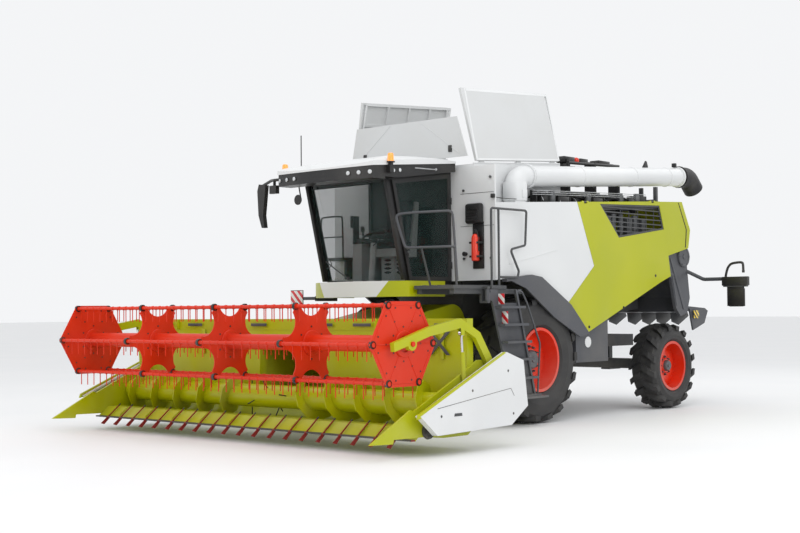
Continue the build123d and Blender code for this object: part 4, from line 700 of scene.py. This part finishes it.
finish_piece("tail_lamps", red_lens, both(tail_lamps), "chassis")
finish_piece("turn_lamps", amber_lens, both(turn_lamps), "chassis")


# Cab glass: panes of green tinted safety glass, bonded to the frames of the cab and of its door, with
# faint streaks that wiping leaves.
glass, shader, places = start_material("cab_glass_tint")
streaks = places.noise(2.2, 3)
join_shader(shader, {
    "Base Color": streaks.mix((0.012, 0.03, 0.028), (0.02, 0.045, 0.04)),
    "Roughness": streaks * 0.05,
}, {"Alpha": 0.24, "Specular IOR Level": 0.35})
finish_node(glass, "cab_glass", "door_glass")


# Cab interior: moulded light grey plastic trim, screwed to the cab's frame. The steering wheel on its
# column and the screen beside the armrest are black.
trim, shader, places = start_material("cab_trim")
cloud = places.noise(3, 3)
grain = places.noise(300, 2)
wheel_zone = (places.axis(2) > 2.7) * (places.axis(1) < -1.66)
screen_zone = (places.axis(2) > 2.79) * (places.axis(0) < -0.4)
either_zone = wheel_zone + screen_zone
join_shader(shader, {
    "Base Color": either_zone.math("MINIMUM", either_zone, 1.0).mix((0.36, 0.37, 0.36), (0.02, 0.02, 0.021)),
    "Roughness": cloud * 0.15 + 0.42,
    "Normal": (grain + cloud * 0.3).bump(0.3, 0.0005),
}, {})
finish_node(trim, "cab_interior")


# Driver's seat: stuffed cushions in black woven cloth, on a rubber bellows over the spring. Levers with
# round knobs stand beside it.
seat_cloth, shader, places = start_material("seat_cloth")
weave = (places.axis(0) * 1800).sine() * (places.axis(2) * 1800).sine()
fuzz = places.noise(60, 4)
join_shader(shader, {
    "Base Color": (weave * 0.3 + fuzz).ramp(0.2, 0.9).mix((0.018, 0.019, 0.021), (0.05, 0.052, 0.056)),
    "Roughness": fuzz * 0.2 + 0.7,
    "Normal": (weave + fuzz).bump(0.5, 0.0012),
}, {"Specular IOR Level": 0.25})


def cushion(outline, half_width, round_edge=0.03):
    """A stuffed block along x with swollen faces."""
    made = slab("x", outline, -half_width, half_width, round_edge)
    swell = made.modifiers.new("swell", "SUBSURF")
    swell.levels = swell.render_levels = 2
    bpy.ops.object.modifier_apply(modifier="swell")
    return made


seat_outline = ((-1.74, 2.625), (-1.34, 2.625), (-1.34, 2.74), (-1.5, 2.73), (-1.7, 2.76), (-1.76, 2.7))
back_outline = ((-1.41, 2.7), (-1.35, 2.7), (-1.255, 3.32), (-1.3, 3.36), (-1.36, 3.3), (-1.43, 2.9))
cushions = [cushion(seat_outline, 0.255)]
finish_piece("seat_cushion", seat_cloth, cushions, "chassis")
backs = [cushion(back_outline, 0.235)]
finish_piece("seat_back", seat_cloth, backs, "chassis")
folds = ((0, 0), (0, 0.14), (0.03, 0.17), (0.06, 0.14), (0.09, 0.17), (0.12, 0.14), (0.15, 0.17),
         (0.18, 0.14), (0.21, 0.17), (0.24, 0.14), (0.24, 0))
bellows = [turned(folds, (0, -1.45, 2.24), up, 28),
           hose([(-0.15, -1.86, 2.8), (-0.08, -1.87, 2.81), (0.15, -1.86, 2.8)], 0.012)]
finish_piece("seat_bellows", hose_rubber, bellows, "chassis")
small_knob = ((0, 0), (0, 0.012), (0.02, 0.016), (0.04, 0.01), (0.04, 0))
large_knob = ((0, 0), (0, 0.026), (0.04, 0.034), (0.08, 0.03), (0.1, 0))
levers = [hose([(0.03, -1.95, 2.66), (0.14, -1.93, 2.72)], 0.007),
          turned(small_knob, (0.14, -1.93, 2.71), (0.4, 0, 1), 12),
          hose([(-0.38, -1.72, 2.78), (-0.38, -1.74, 2.9)], 0.014),
          turned(large_knob, (-0.38, -1.74, 2.88), up, 16),
          bar((-0.455, -0.425), (-1.93, -1.76), (2.94, 3.12), 0.006)]
finish_piece("cab_controls", black_paint, levers, "chassis")


# Windscreen: a black wiper on its spindle at the foot of the bowed pane, and black posts that close the
# pane's two edges.
def on_screen(x, z, off=0.02):
    """A place just in front of the bowed windscreen."""
    bow = 0.25 * (1 - (x / 0.79) ** 2)
    return (x, -2.07 - (z - 2.14) * 0.24 - bow - off, z)


blade_off = 0.014
wiper = [hose([on_screen(-0.1, 2.17), on_screen(-0.38, 2.31), on_screen(-0.66, 2.44)], 0.009),
         hose([on_screen(-0.52, 2.46, blade_off), on_screen(-0.4, 2.36, blade_off),
               on_screen(-0.68, 2.34, blade_off)], 0.006),
         pin(0, 0.035, 0.022, on_screen(-0.1, 2.17, 0.0), forward, 14)]
deep_post = ((-2.075, 2.14), (-2.165, 2.14), (-2.52, 3.57), (-2.42, 3.57))
thin_post = ((-2.075, 2.14), (-2.12, 2.14), (-2.46, 3.57), (-2.42, 3.57))
wiper += [slab("x", deep_post, x, x + 0.05, 0.004) for x in (-0.812, 0.762)]
wiper += [slab("x", thin_post, x, x + 0.02, 0.003) for x in (-0.765, 0.745)]
finish_piece("screen_posts", black_paint, wiper, "chassis")


# Work lamps and beacons: clear round lamps, flush in the roof's fascia and on the bumper's corners, and
# amber beacons on black feet at the roof's two sides.
roof_lamp = ((0, 0), (0, 0.024), (0.01, 0.029), (0.016, 0.029), (0.02, 0.022), (0.02, 0))
side_lamp = ((0, 0), (0, 0.022), (0.006, 0.027), (0.012, 0.02), (0.012, 0))
bumper_lamp = ((0, 0), (0, 0.026), (0.01, 0.032), (0.02, 0.026), (0.02, 0))
# shape, place and the way that each lamp looks
lamps = (
    (roof_lamp, (0.9, -2.925, 3.61), (0.45, -0.9, 0)),
    (roof_lamp, (0.72, -2.958, 3.61), (0.3, -0.95, 0)),
    (roof_lamp, (0.54, -2.982, 3.61), (0.2, -0.98, 0)),
    (side_lamp, (0.948, -2.5, 3.655), (1, 0, 0)),
    (side_lamp, (0.948, -2.369, 3.669), (1, 0, 0)),
    (bumper_lamp, (0.72, -2.255, 1.994), (0.35, -0.94, 0)),
    (bumper_lamp, (0.828, -2.05, 2.008), (1, 0, 0)),
)
front_lamps = [turned(profile, place, way, 24) for profile, place, way in lamps]
finish_piece("roof_lamps", clear_lens, both(front_lamps), "chassis")
dome_profile = ((0, 0), (0, 0.05), (0.012, 0.055), (0.02, 0.048), (0.11, 0.042), (0.125, 0.03), (0.13, 0))
foot = ((0, 0), (0, 0.062), (0.012, 0.062), (0.02, 0.05), (0.02, 0))
beacons = [turned(dome_profile, place, up, 28) for place in ((0.985, -2.6, 3.762), (-0.985, -2.75, 3.747))]
finish_piece("beacons", amber_lens, beacons, "chassis")


# Cab fittings: a black pull handle, lock and hinges on the door. A black mirror arm and a round mirror
# hang from the roof's far corner. A steel rod with a ball end lies on the roof, beside the lid's seams.
lock = ((0, 0), (0, 0.026), (0.014, 0.026), (0.018, 0.018), (0.018, 0))
door_trims = [hose([(0.83, -2.06, 2.56), (0.862, -2.065, 2.56), (0.864, -2.125, 2.56), (0.83, -2.13, 2.56)],
                   0.01),
              turned(lock, (0.833, -2.1, 2.5), (1, 0, 0), 20)]
door_trims += [bar((0.836, 0.843), (-1.19, -1.14), (z, z + 0.09), 0.003) for z in (2.45, 3.3)]
finish_piece("door_trims", black_paint, door_trims, "cab_door")
mirror = ((0, 0), (0.02, 0.05), (0.04, 0.075), (0.05, 0.075), (0.055, 0))
trims = [turned(foot, place, up, 28) for place in ((0.985, -2.6, 3.755), (-0.985, -2.75, 3.74))]
trims += [hose([(-0.85, -2.35, 3.25), (-0.875, -2.34, 3.05), (-0.82, -2.2, 2.85)], 0.011),
          turned(mirror, (-0.7, -2.72, 3.33), forward, 28),
          hose([(-0.7, -2.7, 3.33), (-0.8, -2.62, 3.4), (-0.9, -2.56, 3.58)], 0.01)]
finish_piece("cab_trims", black_paint, trims, "chassis")
ball = ((-0.02, 0), (-0.014, 0.014), (0, 0.02), (0.014, 0.014), (0.02, 0))
rods = [hose([(0.95, -2.05, 3.722), (0.955, -1.614, 3.728)], 0.009),
        turned(ball, (0.955, -1.6, 3.73), backward, 16)]
finish_piece("roof_rod", steel_bright, rods, "chassis")
lid_seam = [hose([(x, -2.9, 3.735), (x, -1.2, 3.845)], 0.004) for x in (-0.92, 0.92)]
finish_piece("roof_seams", dark_paint, lid_seam, "chassis")


# Front wall beside the cab: a black air intake box with slats on a backing plate, a red extinguisher in
# two straps with its hose, a cable to a small box at the wall's edge, knobs, and painted shade as dark
# lines along two pressed ribs.
valve = ((0, 0), (0, 0.018), (0.03, 0.03), (0.06, 0.03), (0.07, 0.012), (0.07, 0))
socket = ((0, 0), (0, 0.03), (0.05, 0.034), (0.055, 0))
intake = [bar((1.12, 1.43), (-1.17, -1.085), (2.95, 3.25), 0.04),
          bar((1.22, 1.42), (-1.1, -1.082), (2.3, 2.98), 0.004)]
intake += [bar((1.23, 1.41), (-1.2, -1.1), (z, z + 0.03), 0.003) for z in (2.46, 2.66)]
intake += [bar((1.17, 1.38), (-1.185, -1.16), (3.00 + 0.04 * i, 3.015 + 0.04 * i), 0.002) for i in range(5)]
intake += [bar((1.575, 1.635), (-1.13, -1.085), (3.31, 3.37), 0.008),
           hose([(1.6, -1.09, 3.33), (1.6, -0.9, 3.315), (1.55, -0.6, 3.33), (1.5, -0.35, 3.34)], 0.006),
           turned(valve, (1.32, -1.16, 2.8), up, 16),
           hose([(1.33, -1.16, 2.86), (1.39, -1.17, 2.8), (1.385, -1.17, 2.55)], 0.009),
           turned(socket, (1.08, -1.085, 2.52), forward, 20)]
finish_piece("wall_intake", black_paint, intake, "chassis")
bottle_profile = ((0, 0), (0, 0.05), (0.01, 0.058), (0.33, 0.058), (0.37, 0.045), (0.39, 0.02), (0.39, 0))
bottle = turned(bottle_profile, (1.32, -1.165, 2.41), up, 28)
finish_piece("extinguisher", wheel_red, [bottle], "chassis")
wall_knob = ((0, 0), (0, 0.016), (0.02, 0.02), (0.028, 0))
knobs_and_rib_shade = [turned(wall_knob, (x, -1.082, z), forward, 14)
              for x, z in ((1.05, 2.45), (1.05, 3.45), (1.55, 2.45), (1.55, 3.62))]
# Two thin dark strips along the pressed ribs: painted shade of the ribs, not parts of their own.
knobs_and_rib_shade += [slab("y", ((0.98, z), (1.6, z), (1.6, z + 0.006), (0.98, z + 0.006)), -1.084, -1.078, 0.001)
               for z in (2.92, 3.4)]
finish_piece("wall_knobs_and_rib_shade", dark_paint, knobs_and_rib_shade, "chassis")


# Platform and ladder: raised checker marks on the steel deck, and white boards with slanting red stripes
# on the ladder and at the machine's right side, each on a bracket.
mark_reach = 0.022
checks = []
for i in range(9):
    for k in range(7):
        x = 1.04 + 0.07 * i
        y = -2.06 + 0.14 * k
        slant = mark_reach if (i + k) % 2 else -mark_reach
        outline = ((x - mark_reach, y - slant), (x + mark_reach, y + slant - 0.004),
                   (x + mark_reach, y + slant + 0.004), (x - mark_reach, y - slant + 0.004))
        checks.append(slab("z", outline, 2.049, 2.055, 0))
finish_piece("deck_checker", mid_paint, checks, "chassis")
steps = [slab("y", ((1.74, low), (1.86, low), (1.86, high), (1.74, high)), y, y + 0.008, 0.002)
         for y, low, high in ((-1.2, 1.78, 1.93), (-1.12, 1.5, 1.68))]
finish_piece("ladder_boards", warning_film, steps, "ladder")
board = slab("y", ((-2.2, 1.8), (-1.93, 1.8), (-1.93, 2.03), (-2.2, 2.03)), -1.508, -1.5, 0.002)
finish_piece("marker_boards", warning_film, [board], "chassis")


# Far rail: a handrail of bent steel tube, painted dark grey and welded on a step at the cab's right side,
# and the flat steel bracket that holds the marker board.
rail_y = -1.5
rail = ((-1.51, 2.52), (-1.51, 3.14), (-1.47, 3.17), (-1.07, 3.17), (-1.03, 3.14), (-1.03, 2.52))
brackets = [bar((-2.0, -1.6), (-1.498, -1.478), (1.88, 1.93)),
            bar((-1.66, -1.6), (-1.498, -1.05), (1.86, 1.94)),
            slab("y", ((-2.21, 1.79), (-1.92, 1.79), (-1.92, 2.04), (-2.21, 2.04)), -1.5, -1.494, 0.002),
            hose([(x, rail_y, z) for x, z in rail], 0.014),
            hose([(-1.51, rail_y, 2.85), (-1.03, rail_y, 2.85)], 0.011),
            bar((-1.53, -1.01), (-1.52, -1.06), (2.49, 2.53)),
            bar((-1.3, -1.24), (-1.2, -1.05), (2.2, 2.5))]
finish_piece("far_rail", dark_paint, brackets, "chassis")


# Front hoop: one grey handrail tube, bent round from the platform's outer post to the cab's corner and
# back, with a short stub in its lower run.
hoop_places = ((1.67, -2.01, 2.12), (1.67, -2.08, 2.98), (1.66, -2.1, 3.07), (1.57, -2.17, 3.07),
               (1.05, -2.43, 3.055), (0.965, -2.47, 3.03), (0.97, -2.46, 2.95), (1.02, -2.385, 2.64),
               (1.04, -2.365, 2.58), (1.12, -2.34, 2.575), (1.67, -2.1, 2.58), (1.675, -2.055, 2.58))
hoop = [hose(hoop_places, 0.018, 3), hose([(1.25, -2.276, 2.57), (1.25, -2.29, 2.59)], 0.016)]
finish_piece("front_hoop", mid_paint, hoop, "chassis")


# Auger: steel flights welded on a tube, both painted lime and worn pale by the crop. In the middle the
# tube's face is lime too, and the fingers that reach out of it are black.
auger_finish, shader, places = start_material("auger_paint")
reach = (places.axis(1) + 3.92).reach(places.axis(2) - 0.56)
tube_radius = 0.16
middle_zone = places.axis(0).size() < 0.62
patches = places.noise(2.0, 4)
specks = places.noise(70, 3)
worn = patches.ramp(0.55, 0.72) * 0.35 + specks.ramp(0.62, 0.7) * 0.15
worn_lime = worn.mix((0.44, 0.46, 0.002), (0.36, 0.38, 0.12))
join_shader(shader, {
    "Base Color": ((reach > tube_radius) * middle_zone).mix(worn_lime, (0.02, 0.02, 0.021)),
    "Roughness": worn * 0.4 + 0.3,
    "Normal": (specks + patches).bump(0.3, 0.0007),
}, {"Coat Weight": 0.1, "Coat Roughness": 0.15, "Specular IOR Level": 0.3})
finish_node(auger_finish, "auger")


# Knife bar: blackened steel along the table's front edge, rubbed paler in patches. Red pressed steel
# crop lifters are clamped on it, evenly spaced.
knife_finish, shader, places = start_material("knife_paint")
lifter_pitch = 0.296
beats = places.axis(0) * (1 / lifter_pitch) + 20.0
beat = beats.math("FRACT", beats)
lifter_zone = ((beat - 0.5).size() < 0.06) * (places.axis(1) < -4.4)
cloud = places.noise(6, 4)
black_steel = cloud.mix((0.02, 0.02, 0.022), (0.1, 0.095, 0.09))
join_shader(shader, {
    "Base Color": lifter_zone.mix(black_steel, (0.26, 0.022, 0.016)),
    "Roughness": cloud * 0.3 + 0.3,
    "Normal": cloud.bump(0.3, 0.001),
}, {"Metallic": 0.2})
finish_node(knife_finish, "knife_bar")


# Cylinders: ground chrome rods for the header's lift and the reel's, in lime barrels at the reel. The
# steering knuckles of the rear axle are grey castings.
chrome, shader, places = start_material("chrome_rods")
film = places.noise(7, 3)
join_shader(shader, {
    "Base Color": film.mix((0.72, 0.73, 0.74), (0.6, 0.6, 0.58)),
    "Roughness": film * 0.12 + 0.06,
    "Normal": (places.axis(2) * 3000).sine().bump(0.08, 0.0002),
}, {"Metallic": 1.0})
finish_node(chrome, "lift_rods", "reel_rods")
finish_node(lime_paint, "reel_barrels")
finish_node(cast_grey, "steering_knuckle_left", "steering_knuckle_right")


# Header's end shields: blank white sheet with a lime bar along the sloping edge, painted shade as a dark
# line along the fold and in the slot, and four dark screws each.
edge_outline = ((-4.74, 0.455), (-4.72, 0.515), (-3.1, 1.185), (-3.08, 1.125), (-3.14, 1.105),
                (-4.66, 0.475))
lime_edge = slab("x", edge_outline, 3.295, 3.329, 0.004)
finish_piece("shield_edges", lime_paint, both([lime_edge]), "feeder")
shield_face = 3.3285
fold = ((-4.4, 0.566), (-3.0, 0.736), (-2.93, 0.64), (-2.935, 0.636), (-3.004, 0.73), (-4.4, 0.56))
slot_outline = ((-4.1, 0.455), (-3.95, 0.455), (-3.96, 0.49), (-4.09, 0.49))
screw = ((-0.004, 0), (-0.004, 0.017), (0, 0.02), (0.004, 0.012), (0.004, 0))
# The fold line and the slot are thin dark plates: painted shade in the crease and in the opening.
shade_lines_and_screws = [slab("x", fold, shield_face, 3.3325, 0.0008),
              slab("x", slot_outline, shield_face, 3.3335, 0.001)]
shade_lines_and_screws += [turned(screw, (shield_face, y, z))
               for y, z in ((-3.75, 0.74), (-4.33, 0.47), (-3.05, 0.95), (-2.95, 0.42))]
finish_piece("shield_shade_and_screws", dark_paint, both(shade_lines_and_screws), "feeder")


# End drives: black cast pulleys on the table's two end plates, each bolted on the end of its shaft. From
# the front they are the knife's, the auger's and the cross shaft's.
drive_x = 3.13
knife_drive = ((0, 0), (0, 0.1), (0.01, 0.105), (0.03, 0.1), (0.03, 0.07), (0.02, 0.06), (0.02, 0.03),
               (0.045, 0.025), (0.045, 0))
auger_drive = ((0, 0), (0, 0.13), (0.02, 0.14), (0.06, 0.14), (0.08, 0.13), (0.08, 0))
drives = [turned(knife_drive, (drive_x, -4.35, 0.3), steps=32),
          turned(auger_drive, (drive_x, -3.92, 0.56), steps=36),
          pin(0, 0.06, 0.07, (drive_x, -3.42, 0.8), steps=28)]
finish_piece("end_drives", black_paint, both(drives), "feeder")


# Table and back beam: lime steel with its slots drawn as dark plates of painted shade, a dark cross on the
# beam, seams and stiffeners welded on it, and pressed beads over the table's floor.
# The slots are thin dark plates on the beam's face: painted shade where the openings are.
beam_slot_shade_and_cross = [bar((x, x + 0.32), (-3.601, -3.594), (1.5, 1.54), 0.002)
              for x in (-2.9, -2.2, -1.5, -0.8, 0.5, 1.2, 1.9, 2.6)]
beam_slot_shade_and_cross += [slab("y", ((2.5, 1.15), (2.56, 1.15), (2.86, 1.44), (2.8, 1.44)), -3.603, -3.592, 0.002),
               slab("y", ((2.86, 1.15), (2.8, 1.15), (2.5, 1.44), (2.56, 1.44)), -3.606, -3.596, 0.002)]
finish_piece("beam_slot_shade_and_cross", dark_paint, beam_slot_shade_and_cross, "feeder")
beam_outline = ((-3.61, 1.45), (-3.45, 1.45), (-3.45, 1.6), (-3.61, 1.6))
bead_outline = ((-4.535, 0.2), (-4.4, 0.21), (-4.19, 0.325), (-4.19, 0.335), (-4.4, 0.335), (-4.53, 0.245))
seams = [slab("x", beam_outline, x, x + 0.006, 0.001) for x in (-2.45, -1.6, 1.6, 2.45)]
seams += [bar((x, x + 0.05), (-3.598, -3.58), (1.1, 1.45), 0.004) for x in (-2.9, -1.87, 1.87, 2.7)]
seams += [slab("x", bead_outline, x - 0.004, x + 0.004, 0.001)
          for x in (-2.6, -2.0, -1.4, -0.8, -0.2, 0.4, 1.0, 1.6, 2.2, 2.8)]
finish_piece("table_seams", lime_paint, seams, "feeder")


# Header hoses: black and red hydraulic hoses from the end drive over the end plate, and three black
# ones from the beam's back to the feeder house.
# the four places and the radius of each hose over the end plate, black ones first
end_hoses = (
    (((3.13, -3.36, 0.62), (3.2, -3.4, 0.64), (3.224, -3.55, 0.74), (3.216, -3.71, 0.72)), 0.012),
    (((3.13, -3.36, 0.68), (3.2, -3.4, 0.7), (3.228, -3.54, 0.82), (3.22, -3.7, 0.8)), 0.01),
    (((3.13, -3.36, 0.74), (3.2, -3.4, 0.77), (3.23, -3.54, 0.92), (3.222, -3.7, 0.9)), 0.009),
)
arm_hoses = [hose(places, radius) for places, radius in end_hoses[:2]]
arm_hoses += [hose([(-0.2 + shift, -3.46, 1.5), (-0.15 + shift, -3.2, 1.62), (-0.1 + shift, -2.95, 1.5),
                    (-0.08 + shift, -2.8, 1.42)], 0.013) for shift in (0.0, 0.05, 0.1)]
finish_piece("header_hoses", hose_rubber, arm_hoses, "feeder")
red_hose = hose(*end_hoses[2])
finish_piece("header_red_hose", wheel_red, [red_hose], "feeder")


# Feeder house strips: a dark flat steel bar along each side of the lime box, from its mouth back to the
# front axle. Seven bolts fix each bar.
strip_outline = ((-3.3, 0.62), (-1.3, 1.3), (-1.3, 1.325), (-3.3, 0.645))
feeder_trims = []
for side in (-0.705, 0.695):
    feeder_trims.append(slab("x", strip_outline, side, side + 0.01, 0.002))
    for i in range(7):
        feeder_trims.append(pin(0, 0.014, 0.014, (side - 0.002, -3.2 + 0.3 * i, 0.72 + 0.1 * i), steps=6))
finish_piece("feeder_trims", dark_paint, feeder_trims, "feeder")


# Reel: orange-red sheet plates with pressed lines and bolt heads, black bearing blocks where the tine
# bars turn, and tine bars with coiled spring roots.
reel_red = enamel("reel_paint", (0.68, 0.028, 0.002), (0.6, 0.022, 0.002), 0.42, 0.06, 0.06)
finish_node(reel_red, "reel", *[f"tine_bar_{i}" for i in range(1, 7)])
reel_middle = Vector((0, -4.678, 1.317))
end_plates = (-3.05, 3.05)
inner_plates = (-1.525, 0.0, 1.525)
all_plates = (-3.05, *inner_plates, 3.05)
bar_turns = [60 * i for i in range(6)]
bar_reach = 0.52


def reel_place(x, radius, turn_by):
    """A place on the reel at a radius and an angle in degrees."""
    angle = radians(turn_by)
    return reel_middle + Vector((x, radius * cos(angle), radius * sin(angle)))


bearing = ((-0.022, 0.03), (-0.022, 0.042), (-0.018, 0.046), (0.018, 0.046), (0.022, 0.042), (0.022, 0.03))
bearings = [turned(bearing, reel_place(x, bar_reach, turn_by), steps=20)
            for x in all_plates for turn_by in bar_turns]
finish_piece("reel_bearings", black_paint, bearings, "reel")
end_bolts = ((0.3, 0), (0.44, 12), (0.44, -12), (0.2, 30))
bolts = [pin(-0.012, 0.012, 0.011, reel_place(x, reach, turn_by + shift), steps=6)
         for x in end_plates for turn_by in bar_turns for reach, shift in end_bolts]
bolts += [pin(-0.014, 0.014, 0.012, reel_place(x, 0.2, turn_by + 30), steps=6)
          for x in inner_plates for turn_by in bar_turns]
finish_piece("reel_bolts", black_paint, bolts, "reel")
presses = []
for x in (-3.058, 3.058):
    for turn_by in bar_turns:
        spoke = [reel_place(x, 0.17, turn_by), reel_place(x, 0.46, turn_by)]
        bow = [reel_place(x, 0.49, turn_by + 8), reel_place(x, 0.455, turn_by + 30),
               reel_place(x, 0.49, turn_by + 52)]
        presses += [hose(spoke, 0.005, 1), hose(bow, 0.005, 1)]
hub = ((-0.03, 0.098), (-0.03, 0.15), (-0.024, 0.156), (0.024, 0.156), (0.03, 0.15), (0.03, 0.098))
presses += [turned(hub, reel_place(x, 0, 0), steps=36) for x in all_plates]
finish_piece("reel_presses", reel_red, presses, "reel")
coil = ((-0.018, 0.0215), (-0.018, 0.026), (-0.012, 0.028), (0.012, 0.028), (0.018, 0.026), (0.018, 0.0215))
tine_count = 40
tine_pitch = 0.152
for number, turn_by in enumerate(bar_turns, 1):
    middle = reel_place(0, bar_reach, turn_by)
    shifts = [(k - (tine_count - 1) / 2) * tine_pitch for k in range(tine_count)]
    coils = [turned(coil, middle + Vector((shift, 0, 0)), steps=10) for shift in shifts]
    finish_piece(f"tine_coils_{number}", reel_red, coils, f"tine_bar_{number}")
